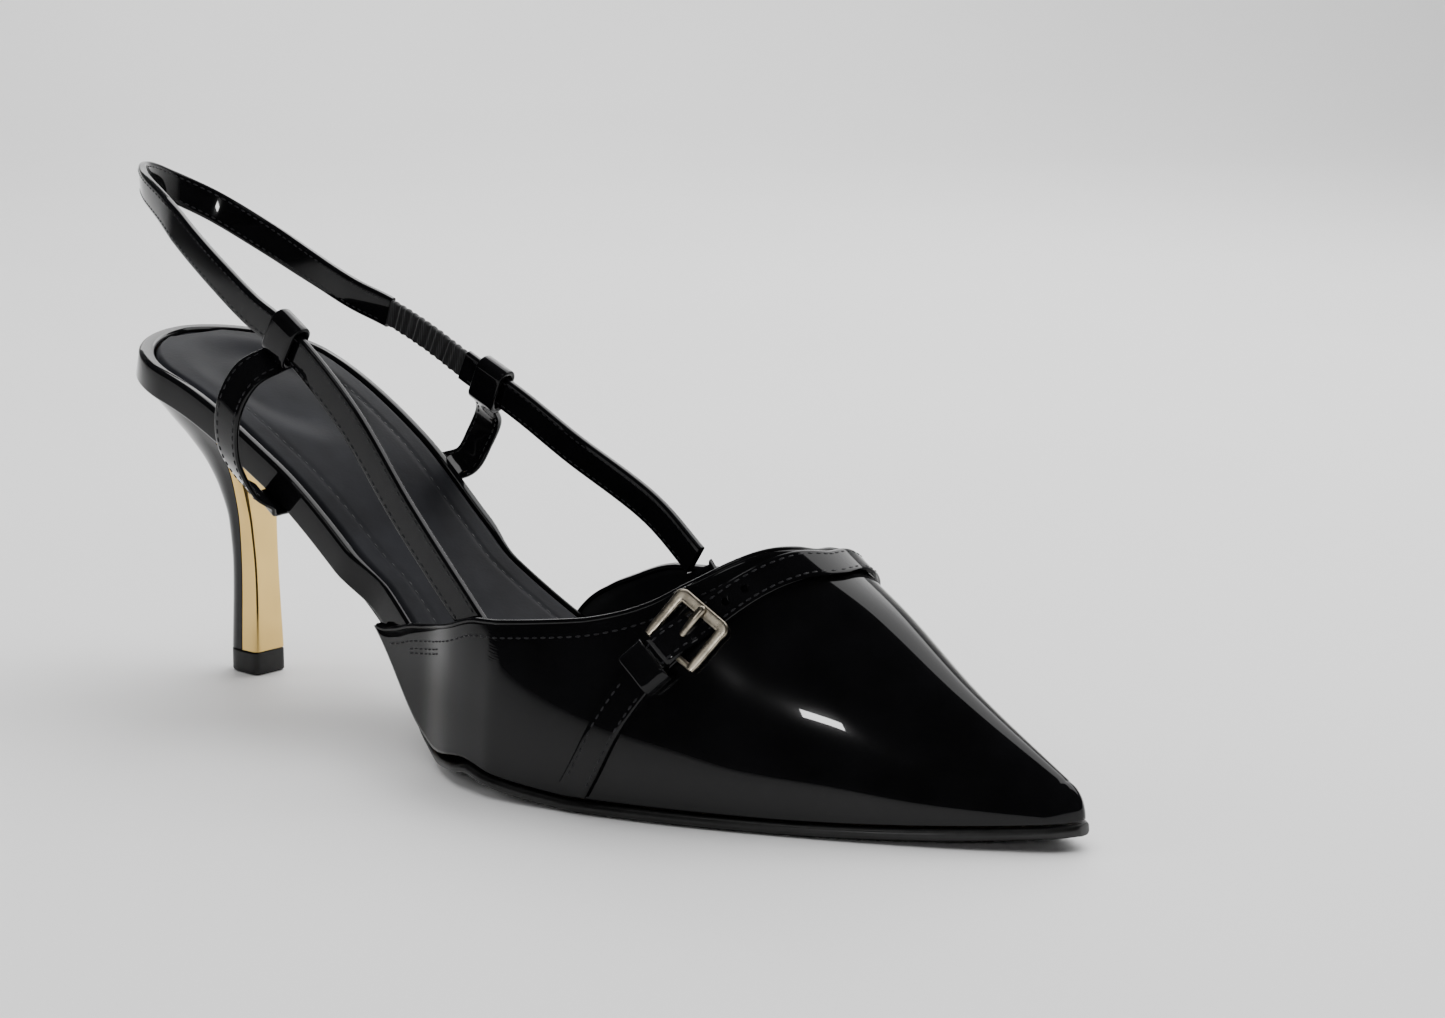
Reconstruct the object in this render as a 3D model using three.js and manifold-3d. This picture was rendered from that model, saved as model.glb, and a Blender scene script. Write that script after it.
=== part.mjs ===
// A right-foot slingback high heel pump with a pointed toe, built as its separate pieces.
// Millimetres. +X runs from the heel to the toe, +Y to the inner side of the foot, +Z up.
// The pieces are worked out in a frame whose X starts at the back of the seat, and whose Z
// starts at the floor. The whole group is then moved to stand on the middle of its box.
import * as THREE from "three";
import { mergeVertices } from "three/addons/utils/BufferGeometryUtils.js";
import Module from "manifold-3d";

const wasm = await Module();
wasm.setup();

// ---- Driving dimensions --------------------------------------------------------------

const GAP = 0.3; // between pieces that touch

// The last, seen from above and from the side.
const LENGTH = 249; // back of the seat to the tip of the toe
const SEAT_HALF_WIDTH = 25.4;
const SEAT_ARC = 24; // length of the round back of the seat
const WAIST_LATERAL = 22.6; // reach from the heel's centre line at the narrowest place
const WAIST_MEDIAL = 23.4;
const BALL_LATERAL = 35.6;
const BALL_MEDIAL = 42;
const TOE_SWING = 19.8; // how far the tip lies to the inner side
const TOE_HALF_WIDTH = 3.5;
const TOE_ARC = 5; // length of the rounded tip
const SEAT_HEIGHT = 80.7; // top of the footbed's edge at the back
const TREAD_HEIGHT = 10; // top of the footbed's edge at the ball
const TOE_SPRING = 2.8;
const THROAT_HEIGHT = 53.2; // top of the vamp where the foot goes in
const TOE_BOX_HEIGHT = 13.4;
const RIDGE_ROUNDNESS = 1.75; // 2 is an ellipse, and less gives the vamp a ridge
const THROAT_ROUNDNESS = 2.15; // over the instep, where the foot goes in

// The layers of the footbed, from the top down.
const SOCK_THICKNESS = 1.2;
const FOAM_THICKNESS = 2.2;
const BOARD_THICKNESS = 3.2;
const RAND_WIDTH = 2.9; // the wrapped edge beside the sock
const TUCKED_RAND_INSET = 3.45; // outer face of the wrapped edge where the quarters cover it
const LINED_INSET = 3.65; // inset of the footbed's layers where the lining stands round them
const TOE_INSET = 7; // and at the toe, where the lining leans in
const OUTSOLE_THICKNESS = 2.5;
const WAIST_SOLE_THICKNESS = 1.4;
const WAIST_SOLE_INSET = 5;
const OUTSOLE_LIP = 0.6;
const SHANK_WIDTH = 11;
const SHANK_THICKNESS = 1.5;
const RIVET_RADIUS = 1.8;

// The upper.
const UPPER_THICKNESS = 1;
const LINING_THICKNESS = 0.8;
const PUFF_THICKNESS = 0.8;
const PUFF_LENGTH = 38;
const QUARTER_LATERAL = 91; // where the quarters end at the waist
const QUARTER_MEDIAL = 99;
const QUARTER_TUCK = 6.5; // how far they reach below the footbed
const EDGE_RAISE = 0.32; // clearance of the upper's edge over the sole
const THROAT_X = 190;
const BINDING_WIDTH = 1.2;
const STRAP_WIDTH = 6.5; // the strap over the vamp
const STRAP_THICKNESS = 1.1;
const KEEPER_WIDTH = 6;

// The buckle.
const BUCKLE_LENGTH = 12.6; // along the strap
const BUCKLE_WIDTH = 13.4;
const BUCKLE_BAR = 2.1; // width of the frame's sides
const BUCKLE_THICKNESS = 1.5;
const PIN_RADIUS = 0.7;
const PRONG_RADIUS = 0.75;
const BUCKLE_TWIST = 0.18; // turn of the buckle on the strap

// The sling.
const SLING_WIDTH = 7.5;
const SLING_THICKNESS = 1.8;
const ELASTIC_THICKNESS = 1.4;
const ELASTIC_NARROWER = 1.5;
const LOOP_WALL = 1.2;
const LOOP_LENGTH = 8;

// The heel.
const TOP_PIECE_HEIGHT = 5.3;
const PLATE_X = 25.5; // plane between the black back and the plated front
const TUBE_X = 22.3;
const TUBE_RADIUS = 1.7;
const TUBE_CLEARANCE = 2; // from the tube's top to the screw above it
const DOWEL_RADIUS = 0.8;
const SCREW_RADIUS = 2;
const SCREW_LENGTH = 20;
const NAIL_RADIUS = 0.9;
const NAIL_LENGTH = 13;

// ---- Curves and shells ---------------------------------------------------------------

const mix = THREE.MathUtils.lerp;
const clamp = THREE.MathUtils.clamp;
const smooth = THREE.MathUtils.smoothstep;
const vec = (x, y, z) => new THREE.Vector3(x, y, z);

// A smooth curve through [x, y] points that never overshoots them.
function curveThrough(points) {
  const last = points.length - 1;
  const rise = [];
  for (let i = 0; i < last; i += 1) {
    rise.push((points[i + 1][1] - points[i][1]) / (points[i + 1][0] - points[i][0]));
  }
  const slope = points.map((_, i) => {
    if (i === 0) return rise[0];
    if (i === last) return rise[last - 1];
    const [before, after] = [rise[i - 1], rise[i]];
    return before * after <= 0 ? 0 : (2 * before * after) / (before + after);
  });
  return (x) => {
    if (x <= points[0][0]) return points[0][1];
    if (x >= points[last][0]) return points[last][1];
    const i = points.findIndex((point, k) => k < last && x <= points[k + 1][0]);
    const [x0, y0] = points[i];
    const [x1, y1] = points[i + 1];
    const h = x1 - x0;
    const t = (x - x0) / h;
    const start = y0 * (1 + 2 * t) * (1 - t) ** 2 + slope[i] * h * t * (1 - t) ** 2;
    return start + y1 * t * t * (3 - 2 * t) + slope[i + 1] * h * t * t * (t - 1);
  };
}

// The closed solid of a geometry, with its equal points merged and its faces pointing out.
function solidOf(geometry) {
  const bare = geometry.clone();
  bare.deleteAttribute("normal");
  bare.deleteAttribute("uv");
  const merged = mergeVertices(bare, 1e-3);
  const corners = merged.index.array;
  const kept = [];
  for (let i = 0; i < corners.length; i += 3) {
    const [a, b, c] = [corners[i], corners[i + 1], corners[i + 2]];
    if (a !== b && b !== c && c !== a) kept.push(a, b, c);
  }
  const build = (triVerts) => {
    const vertProperties = merged.getAttribute("position").array;
    const mesh = new wasm.Mesh({ numProp: 3, vertProperties, triVerts });
    return new wasm.Manifold(mesh);
  };
  const solid = build(new Uint32Array(kept));
  return solid.volume() > 0 ? solid : build(new Uint32Array(kept.reverse()));
}

function geometryOf(solid) {
  const mesh = solid.getMesh();
  const geometry = new THREE.BufferGeometry();
  const points = new THREE.BufferAttribute(new Float32Array(mesh.vertProperties), 3);
  geometry.setAttribute("position", points);
  geometry.setIndex(new THREE.BufferAttribute(new Uint32Array(mesh.triVerts), 1));
  geometry.computeVertexNormals();
  return geometry;
}

// A box of unit size whose points are placed by place(u, v, t), each from 0 to 1. Its two
// broad faces are split along the same diagonals, so that nested shells keep their gap.
function slab(uSteps, vSteps, place, tSteps = 1) {
  const box = new THREE.BoxGeometry(1, 1, 1, uSteps, vSteps, tSteps);
  const { start, count } = box.groups[5];
  const corners = box.index;
  for (let i = start; i < start + count; i += 6) {
    const [a, b, d, c] = [0, 1, 2, 4].map((k) => corners.getX(i + k));
    [a, b, c, a, c, d].forEach((corner, k) => corners.setX(i + k, corner));
  }
  const points = box.getAttribute("position");
  for (let i = 0; i < points.count; i += 1) {
    const at = place(points.getX(i) + 0.5, points.getY(i) + 0.5, points.getZ(i) + 0.5);
    points.setXYZ(i, at.x, at.y, at.z);
  }
  return solidOf(box);
}

// A cylinder from one point to another.
function rod(from, to, radius, sides = 12) {
  const along = to.clone().sub(from);
  const cylinder = new THREE.CylinderGeometry(radius, radius, along.length(), sides);
  const turn = new THREE.Quaternion().setFromUnitVectors(vec(0, 1, 0), along.clone().normalize());
  cylinder.applyQuaternion(turn);
  cylinder.translate(...from.clone().add(to).multiplyScalar(0.5).toArray());
  return solidOf(cylinder);
}

// A turned piece on a vertical axis, from [radius, height] points.
function turned(profile, x, y, sides = 16) {
  const outline = profile.map(([radius, height]) => new THREE.Vector2(radius, height));
  const lathe = new THREE.LatheGeometry(outline, sides);
  lathe.rotateX(Math.PI / 2);
  lathe.translate(x, y, 0);
  return solidOf(lathe);
}

// ---- The last ------------------------------------------------------------------------

const BALL_LATERAL_X = 0.552 * LENGTH;
const BALL_MEDIAL_X = 0.672 * LENGTH;

const lateralRear = curveThrough([
  [SEAT_ARC, SEAT_HALF_WIDTH],
  [0.2 * LENGTH, 0.976 * SEAT_HALF_WIDTH],
  [0.335 * LENGTH, WAIST_LATERAL],
  [0.44 * LENGTH, mix(WAIST_LATERAL, BALL_LATERAL, 0.36)],
  [0.5 * LENGTH, mix(WAIST_LATERAL, BALL_LATERAL, 0.82)],
  [BALL_LATERAL_X, BALL_LATERAL],
]);
const medialRear = curveThrough([
  [SEAT_ARC, SEAT_HALF_WIDTH],
  [0.2 * LENGTH, 0.976 * SEAT_HALF_WIDTH],
  [0.33 * LENGTH, WAIST_MEDIAL],
  [0.44 * LENGTH, mix(WAIST_MEDIAL, BALL_MEDIAL, 0.29)],
  [0.56 * LENGTH, mix(WAIST_MEDIAL, BALL_MEDIAL, 0.8)],
  [BALL_MEDIAL_X, BALL_MEDIAL],
]);

// Rounds off both ends of an outline.
function endArc(x) {
  const back = clamp(1 - x / SEAT_ARC, 0, 1);
  const front = clamp((x - LENGTH + TOE_ARC) / TOE_ARC, 0, 1);
  return Math.sqrt(1 - back ** 2) * Math.sqrt(1 - front ** 2);
}

// How far the edge of the sole lies to the outer (lateral) and the inner (medial) side.
function reaches(x) {
  const lateralRun = clamp((x - BALL_LATERAL_X) / (LENGTH - BALL_LATERAL_X), 0, 1);
  const medialRun = clamp((x - BALL_MEDIAL_X) / (LENGTH - BALL_MEDIAL_X), 0, 1);
  const lateral = mix(lateralRear(x), TOE_HALF_WIDTH - TOE_SWING, lateralRun ** 1.5);
  const medial = mix(medialRear(x), TOE_HALF_WIDTH + TOE_SWING, medialRun ** 1.25);
  return { middle: (medial - lateral) / 2, half: ((medial + lateral) / 2) * endArc(x) };
}

// Draws a half width in by an inset, without ever passing through zero.
const drawnIn = (half, inset) => half ** 2 / (half + inset + 1e-6);

const edgeHeight = curveThrough(
  [
    [0, 1],
    [0.12 * LENGTH, 0.892],
    [0.24 * LENGTH, 0.686],
    [0.36 * LENGTH, 0.366],
    [0.48 * LENGTH, 0.103],
    [0.55 * LENGTH, 0.03],
    [0.63 * LENGTH, 0],
  ].map(([x, share]) => [x, mix(TREAD_HEIGHT, SEAT_HEIGHT, share)]),
);
const SPRING_X = 0.78 * LENGTH;
const toeLift = (x) => TOE_SPRING * clamp((x - SPRING_X) / (LENGTH - SPRING_X), 0, 1) ** 2;
const footbedTop = (x) => edgeHeight(x) + toeLift(x);

function footbedPitch(x) {
  return Math.atan2(footbedTop(x - 0.5) - footbedTop(x + 0.5), 1);
}

// A point of the footbed: a share of its length, a side from -1 (lateral) to 1, and a depth
// below the top of its edge, measured square to the slope.
function bedPoint(share, side, inset, depth) {
  const nearX = share * LENGTH;
  const { middle, half } = reaches(nearX);
  const x = inset + share * (LENGTH - 2 * inset);
  const pitch = footbedPitch(x);
  const y = middle + side * drawnIn(half, inset);
  return vec(x - depth * Math.sin(pitch), y, footbedTop(x) - depth * Math.cos(pitch));
}

const shareOf = (x) => x / LENGTH;
const BED_FRONT = shareOf(LENGTH - 6);
const FOAM_TOP = SOCK_THICKNESS + GAP;
const FOAM_BOTTOM = FOAM_TOP + FOAM_THICKNESS;
const BOARD_TOP = FOAM_BOTTOM + GAP;
const BED_DEPTH = BOARD_TOP + BOARD_THICKNESS;

// Spreads steps more closely towards both ends.
const closeEnds = (u) => (1 - Math.cos(Math.PI * u)) / 2;

// The wrapped edge ends under the quarters, drawn in to lie inside them.
const RAND_ENDS = { lateral: QUARTER_LATERAL + 14, medial: QUARTER_MEDIAL + 14 };
const tucked = (x) => smooth(x, QUARTER_LATERAL - 9, QUARTER_LATERAL);
const randOuter = (share) => TUCKED_RAND_INSET * tucked(share * LENGTH);
const randInner = (share) => mix(RAND_WIDTH, TUCKED_RAND_INSET + 1.5, tucked(share * LENGTH));
function bedInset(share) {
  const x = share * LENGTH;
  const lined = mix(LINED_INSET, TOE_INSET, smooth(x, 0.68 * LENGTH, LENGTH));
  return mix(randInner(share) - 0.4, lined, smooth(x, RAND_ENDS.medial + 2, RAND_ENDS.medial + 12));
}

// The wrapped edge runs round the seat as one strip, from its lateral end to its medial end.
// Its depth and its faces can be grown, to make room for it in the layers of the footbed.
function randPlace(u) {
  const turn = 2 * u - 1;
  const end = turn < 0 ? RAND_ENDS.lateral : RAND_ENDS.medial;
  return { share: shareOf(end) * Math.abs(turn) ** 1.7, side: Math.sign(turn) };
}
function randStrip({ outer, inner, deeper }) {
  return slab(60, 1, (u, v, t) => {
    const { share, side } = randPlace(u);
    const inset = mix(randInner(share) + inner, randOuter(share) - outer, v);
    return bedPoint(share, side, inset, mix(BED_DEPTH + deeper, -deeper, t));
  });
}
const randRoom = randStrip({ outer: 1, inner: GAP, deeper: 1 });

// A layer of the footbed between two depths, inside the wrapped edge and the lining.
function bedLayer({ top, bottom, across = 2 }) {
  const layer = slab(30, across, (u, v, t) => {
    const share = BED_FRONT * closeEnds(u);
    const depth = mix(bottom, top, t);
    return bedPoint(share, 2 * v - 1, bedInset(share), depth);
  });
  return layer.subtract(randRoom);
}


// Height of the footbed's underside at x.
function bedUnderside(x, depth) {
  let topX = x;
  for (let i = 0; i < 5; i += 1) topX = x + depth * Math.sin(footbedPitch(topX));
  return footbedTop(topX) - depth * Math.cos(footbedPitch(topX));
}

const ridgeHeight = curveThrough([
  [0.36 * LENGTH, THROAT_HEIGHT + 76],
  [0.6 * LENGTH, THROAT_HEIGHT + 33],
  [THROAT_X - 13, THROAT_HEIGHT + 12],
  [THROAT_X, THROAT_HEIGHT],
  [0.828 * LENGTH, mix(TOE_BOX_HEIGHT, THROAT_HEIGHT, 0.73)],
  [0.9 * LENGTH, mix(TOE_BOX_HEIGHT, THROAT_HEIGHT, 0.367)],
  [LENGTH - 4, TOE_BOX_HEIGHT],
]);

// How far the quarters reach under the footbed, where the waist rises from the ground.
function tuckUnder(x) {
  const rise = smooth(x, QUARTER_LATERAL - 2, QUARTER_LATERAL + 20);
  return QUARTER_TUCK * rise * (1 - smooth(x, QUARTER_LATERAL + 22, BALL_LATERAL_X - 6));
}

// A point of the upper's surface: x along the shoe, and an angle over the foot from the
// lateral edge of the sole (0) to the medial edge (pi). An inset moves it inwards.
function upperPoint(x, angle, inset) {
  const { middle, half } = reaches(x);
  const tip = Math.sqrt(1 - clamp((x - LENGTH + TOE_ARC) / TOE_ARC, 0, 1) ** 2);
  const foot = bedUnderside(x, BED_DEPTH + tuckUnder(x)) + EDGE_RAISE;
  const height = (ridgeHeight(x) - foot) * tip;
  const instep = Math.max(Math.sin(angle), 0) ** 8 * (1 - smooth(x, THROAT_X, THROAT_X + 30));
  const power = 2 / mix(RIDGE_ROUNDNESS, THROAT_ROUNDNESS, instep);
  const across = Math.sign(Math.cos(angle)) * Math.abs(Math.cos(angle)) ** power;
  const up = Math.max(Math.sin(angle), 0) ** power;
  const rear = topline(clamp(angle, 0, Math.PI));
  const shrink = (LENGTH - rear - inset) / (LENGTH - rear);
  return vec(
    rear + (x - rear) * shrink,
    middle - drawnIn(half, inset) * across,
    foot + drawnIn(height, inset) * up,
  );
}

// Where the top edge of the upper lies, as x for each angle.
const QUARTER_ANGLE = 0.04;
const MIDDLE_ANGLE = Math.PI / 2;
// How far behind the throat it lies at the angles over the front of the foot.
const LATERAL_FRONT = [
  [0.56, 30.3],
  [0.67, 21.5],
  [0.77, 16.8],
  [0.9, 12],
  [1.12, 6.6],
  [1.4, 2],
];
const MEDIAL_FRONT = [
  [0.56, 27],
  [0.67, 18],
  [0.77, 12.5],
  [0.9, 7],
  [1.12, 2],
  [1.4, -0.2],
];
function toplineCurve(quarterX, rise, frontEdge) {
  const front = frontEdge.map(([angle, behind]) => [angle, THROAT_X - behind]);
  const [lastAngle, lastX] = front[front.length - 1];
  return curveThrough([
    [0, quarterX],
    [QUARTER_ANGLE, quarterX + 0.09 * rise],
    [0.12, quarterX + 0.24 * rise],
    [0.22, quarterX + 0.45 * rise],
    [0.296, quarterX + 0.73 * rise],
    [0.335, quarterX + rise],
    ...front,
    [MIDDLE_ANGLE, THROAT_X],
    [Math.PI - lastAngle, lastX],
  ]);
}
const lateralTopline = toplineCurve(QUARTER_LATERAL, 33, LATERAL_FRONT);
const medialTopline = toplineCurve(QUARTER_MEDIAL, 23, MEDIAL_FRONT);
function topline(angle) {
  return angle < MIDDLE_ANGLE ? lateralTopline(angle) : medialTopline(Math.PI - angle);
}

// Angles over the foot, closer together near the sole, where the quarters are long and low.
const AROUND = 30;
const closeSides = (w) => w - (0.76 * Math.sin(2 * Math.PI * w)) / (2 * Math.PI);
const edgeAngle = (w) => mix(QUARTER_ANGLE, Math.PI - QUARTER_ANGLE, closeSides(w));
function shellAngle(u) {
  const step = 1 / AROUND;
  if (u < step) return (QUARTER_ANGLE * u) / step;
  if (u > 1 - step) return Math.PI - (QUARTER_ANGLE * (1 - u)) / step;
  return edgeAngle((u - step) / (1 - 2 * step));
}

// A shell of the upper from a rear edge to the toe, between two insets.
function upperShell({ rear, outer, inner, along = 15 }) {
  return slab(AROUND, along, (u, v, t) => {
    const angle = shellAngle(u);
    const x = mix(rear(angle), LENGTH, 1 - (1 - v) ** 1.6);
    return upperPoint(x, angle, mix(inner(x), outer(x), t));
  });
}

// ---- Bands along a path --------------------------------------------------------------

// The directions of a band at a place on its path: along, across its width, and outwards.
function frameAt(path, u, outwards) {
  const at = path.getPointAt(u);
  const along = path.getTangentAt(u);
  const out = outwards(at, u);
  out.addScaledVector(along, -out.dot(along)).normalize();
  return { at, along, out, across: vec(0, 0, 0).crossVectors(along, out) };
}

function band({ path, outwards, width, thickness, steps = 3 }) {
  return slab(steps, 1, (u, v, t) => {
    const { at, out, across } = frameAt(path, u, outwards);
    at.addScaledVector(across, (v - 0.5) * width);
    return at.addScaledVector(out, (t - 0.5) * thickness);
  });
}

const smoothPath = (points) => {
  const corners = points.map((point) => vec(...point));
  return new THREE.CatmullRomCurve3(corners, false, "centripetal");
};

// ---- Materials -----------------------------------------------------------------------

const finish = (color, roughness, metalness = 0) =>
  new THREE.MeshStandardMaterial({ color, roughness, metalness });
const patent = finish(0x0b0b0d, 0.08);
const softBlack = finish(0x17181a, 0.55);
const rubber = finish(0x101011, 0.6);
const gold = finish(0xd9b25a, 0.12, 1);
const antique = finish(0x8d8676, 0.32, 1);
const steel = finish(0xa9adb2, 0.35, 1);
const foam = finish(0xd8cdb4, 0.9);
const fibreboard = finish(0x8c6f4f, 0.85);

const shoe = new THREE.Group();

function add(name, solid, material) {
  const mesh = new THREE.Mesh(geometryOf(solid), material.clone());
  mesh.name = name;
  shoe.add(mesh);
}

// ---- The heel ------------------------------------------------------------------------

const HEEL_FOOT = TOP_PIECE_HEIGHT + GAP;
const HEEL_SHARES = SEAT_HEIGHT / 80.7;
const tall = (points) => points.map(([z, value]) => [z * HEEL_SHARES, value]);
const heelBack = curveThrough(
  tall([
    [HEEL_FOOT, 19],
    [25, 19.5],
    [36, 18.6],
    [44, 15.6],
    [50, 11.9],
    [56, 7.2],
    [62, 2.6],
    [68, -0.4],
    [73, -1.2],
  ]),
);
const heelRound = curveThrough(
  tall([
    [HEEL_FOOT, 5],
    [25, 4.7],
    [36, 5.2],
    [44, 8],
    [50, 11],
    [56, 14.5],
    [62, 18.5],
    [73, 24.5],
  ]),
);
const heelHalfWidth = curveThrough(
  tall([
    [HEEL_FOOT, 4.8],
    [25, 4.3],
    [36, 4.7],
    [44, 6],
    [50, 7.7],
    [56, 10.8],
    [62, 15.4],
    [68, 20.4],
    [73, 23.5],
  ]),
);
const heelBreast = curveThrough(
  tall([
    [HEEL_FOOT, 30.5],
    [25, 29.7],
    [40, 28.7],
    [48, 28.4],
    [53, 30.2],
    [57, 34.5],
    [60, 41],
    [64, 50],
  ]),
);

// A column with the heel's section: round at the back, and flat with firm corners in front.
function heelColumn(low, high, steps, sides = 32) {
  const column = new THREE.CylinderGeometry(1, 1, 1, sides, steps);
  column.rotateX(Math.PI / 2);
  const points = column.getAttribute("position");
  for (let i = 0; i < points.count; i += 1) {
    const [px, py] = [points.getX(i), points.getY(i)];
    const z = mix(low, high, points.getZ(i) + 0.5);
    const radius = Math.hypot(px, py);
    const turn = Math.atan2(py, px);
    const [back, round] = [heelBack(z), heelRound(z)];
    const centre = back + round;
    const front = Math.max(heelBreast(z) - centre, 1);
    const [c, s] = [Math.cos(turn), Math.sin(turn)].map((part) => (Math.abs(part) < 1e-5 ? 0 : part));
    const power = c > 0 ? 0.25 : 1;
    const reach = c > 0 ? front * c ** power : round * c;
    const side = Math.sign(s) * Math.abs(s) ** power * heelHalfWidth(z);
    points.setXYZ(i, centre + reach * radius, side * radius, z);
  }
  return solidOf(column);
}

// Everything above the underside of the footbed over the heel, less a gap.
function aboveSeat(depth) {
  return slab(40, 1, (u, v, t) => {
    const x = mix(-12, 80, u);
    const top = bedUnderside(Math.max(x, -6), depth);
    return vec(x, mix(-60, 60, v), mix(top, top + 60, t));
  });
}

const HEEL_TOP = 76 * HEEL_SHARES;
const seatCut = aboveSeat(BED_DEPTH + GAP);
let heelBody = heelColumn(HEEL_FOOT, HEEL_TOP, 22).subtract(seatCut);

const halfSpace = (fromX, toX) => {
  const block = new THREE.BoxGeometry(toX - fromX, 120, 200);
  block.translate((fromX + toX) / 2, 0, 60);
  return solidOf(block);
};
const onRear = halfSpace(-60, PLATE_X - GAP / 2);
const onFront = halfSpace(PLATE_X + GAP / 2, 120);

// Fasteners that come down through the footbed: a screw on the tube's axis, and nails.
const HEAD_DEPTH = 1.6; // of the heads below the board's top
const seatTop = (x) => footbedTop(x) - BOARD_TOP / Math.cos(footbedPitch(x)) - HEAD_DEPTH;
const NAILS = [
  ["heel_nail_back", 9, 0],
  ["heel_nail_lateral", 17, -10],
  ["heel_nail_medial", 17, 10],
  ["heel_nail_front", 32, 0],
];
const nailSolid = ([, x, y], extra) => {
  const head = seatTop(x);
  const low = head - NAIL_LENGTH - extra;
  return turned(
    [
      [0, low],
      [NAIL_RADIUS + extra, low],
      [NAIL_RADIUS + extra, head - 1],
      [NAIL_RADIUS + 0.9 + extra, head - 0.9],
      [NAIL_RADIUS + 0.9 + extra, head + extra],
      [0, head + extra],
    ],
    x,
    y,
    10,
  );
};
const screwSolid = (extra) => {
  const head = seatTop(TUBE_X);
  const low = head - SCREW_LENGTH - extra;
  return turned(
    [
      [0, low],
      [SCREW_RADIUS + extra, low],
      [SCREW_RADIUS + extra, head - 2],
      [SCREW_RADIUS + 1.8 + extra, head - 0.3],
      [SCREW_RADIUS + 1.8 + extra, head + extra],
      [0, head + extra],
    ],
    TUBE_X,
    0,
    14,
  );
};
const tubeTop = () => seatTop(TUBE_X) - SCREW_LENGTH - TUBE_CLEARANCE;
const tubeSolid = (extra) =>
  rod(vec(TUBE_X, 0, HEEL_FOOT - extra), vec(TUBE_X, 0, tubeTop() + extra), TUBE_RADIUS + extra, 14);
const dowelSolid = (extra) =>
  rod(vec(TUBE_X, 0, 1.6 - extra), vec(TUBE_X, 0, 18 + extra), DOWEL_RADIUS + extra, 10);

const fastenerHoles = NAILS.map((nail) => nailSolid(nail, GAP));
fastenerHoles.push(screwSolid(GAP));
heelBody = fastenerHoles.reduce((solid, hole) => solid.subtract(hole), heelBody);
heelBody = heelBody.subtract(tubeSolid(GAP));

add("heel_back", heelBody.intersect(onRear), patent);
add("heel_breast_plate", heelBody.intersect(onFront), gold);
add("heel_tube", tubeSolid(-0.02).subtract(dowelSolid(GAP)), steel);
add("top_piece_dowel", dowelSolid(0), steel);
add("top_piece", heelColumn(0, TOP_PIECE_HEIGHT, 2, 32).subtract(dowelSolid(GAP)), rubber);
add("heel_screw", screwSolid(0), steel);
NAILS.forEach((nail) => add(nail[0], nailSolid(nail, 0), steel));

// ---- The footbed ---------------------------------------------------------------------

add("sock_lining", bedLayer({ top: 0, bottom: SOCK_THICKNESS, across: 4 }), softBlack);

// An oval pad that follows the footbed, set into a hole of its own shape in the foam.
function ovalPad(centre, reachX, reachY, top, bottom) {
  const { middle } = reaches(centre);
  return slab(18, 4, (u, v, t) => {
    const x = centre - reachX * Math.cos(Math.PI * u);
    const y = middle + (2 * v - 1) * reachY * Math.sin(Math.PI * u);
    const depth = mix(bottom, top, t);
    const pitch = footbedPitch(x);
    return vec(x - depth * Math.sin(pitch), y, footbedTop(x) - depth * Math.cos(pitch));
  });
}
const PADS = [
  ["heel_cushion", 34, 22, 15],
  ["ball_cushion", 158, 20, 22],
];
let foamSheet = bedLayer({ top: FOAM_TOP, bottom: FOAM_BOTTOM });
PADS.forEach(([, centre, reachX, reachY]) => {
  const hole = ovalPad(centre, reachX + GAP, reachY + GAP, FOAM_TOP - 1, FOAM_BOTTOM + 1);
  foamSheet = foamSheet.subtract(hole);
});
add("insole_foam", foamSheet, foam);
PADS.forEach(([name, centre, reachX, reachY]) => {
  add(name, ovalPad(centre, reachX, reachY, FOAM_TOP, FOAM_BOTTOM), foam);
});

// The shank lies in a groove in the board's underside, and two rivets hold it.
const SHANK_FROM = shareOf(46);
const SHANK_TO = shareOf(132);
const strip = (top, bottom, half, from, to) =>
  slab(22, 1, (u, v, t) => {
    const place = bedPoint(mix(from, to, u), 0, RAND_WIDTH, mix(bottom, top, t));
    return place.add(vec(0, (2 * v - 1) * half, 0));
  });
const SHANK_TOP = BED_DEPTH - SHANK_THICKNESS;
const shankGroove = strip(
  SHANK_TOP - GAP,
  BED_DEPTH + 1,
  SHANK_WIDTH / 2 + GAP,
  SHANK_FROM - 0.002,
  SHANK_TO + 0.002,
);
const RIVETS = [
  ["shank_rivet_rear", 54],
  ["shank_rivet_front", 124],
];
function rivet(x, extra) {
  const square = (depth) => bedPoint(shareOf(x), 0, RAND_WIDTH, depth);
  const head = rod(square(BOARD_TOP - extra), square(BOARD_TOP + 0.9 + extra), RIVET_RADIUS + 1.2 + extra);
  return head.add(rod(square(BOARD_TOP + 0.5), square(BED_DEPTH + extra * 4), RIVET_RADIUS + extra));
}
const rivetHoles = RIVETS.map(([, x]) => rivet(x, GAP));
let board = bedLayer({ top: BOARD_TOP, bottom: BED_DEPTH });
board = board.subtract(shankGroove);
let shank = strip(SHANK_TOP, BED_DEPTH - 0.05, SHANK_WIDTH / 2, SHANK_FROM, SHANK_TO);
[...rivetHoles, ...fastenerHoles].forEach((hole) => {
  board = board.subtract(hole);
});
rivetHoles.forEach((hole) => {
  shank = shank.subtract(hole);
});
add("insole_board", board, fibreboard);
add("shank", shank, steel);
RIVETS.forEach(([name, x]) => add(name, rivet(x, 0), steel));

add("footbed_rand", randStrip({ outer: 0, inner: 0, deeper: 0 }), patent);

// ---- The outsole ---------------------------------------------------------------------

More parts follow.
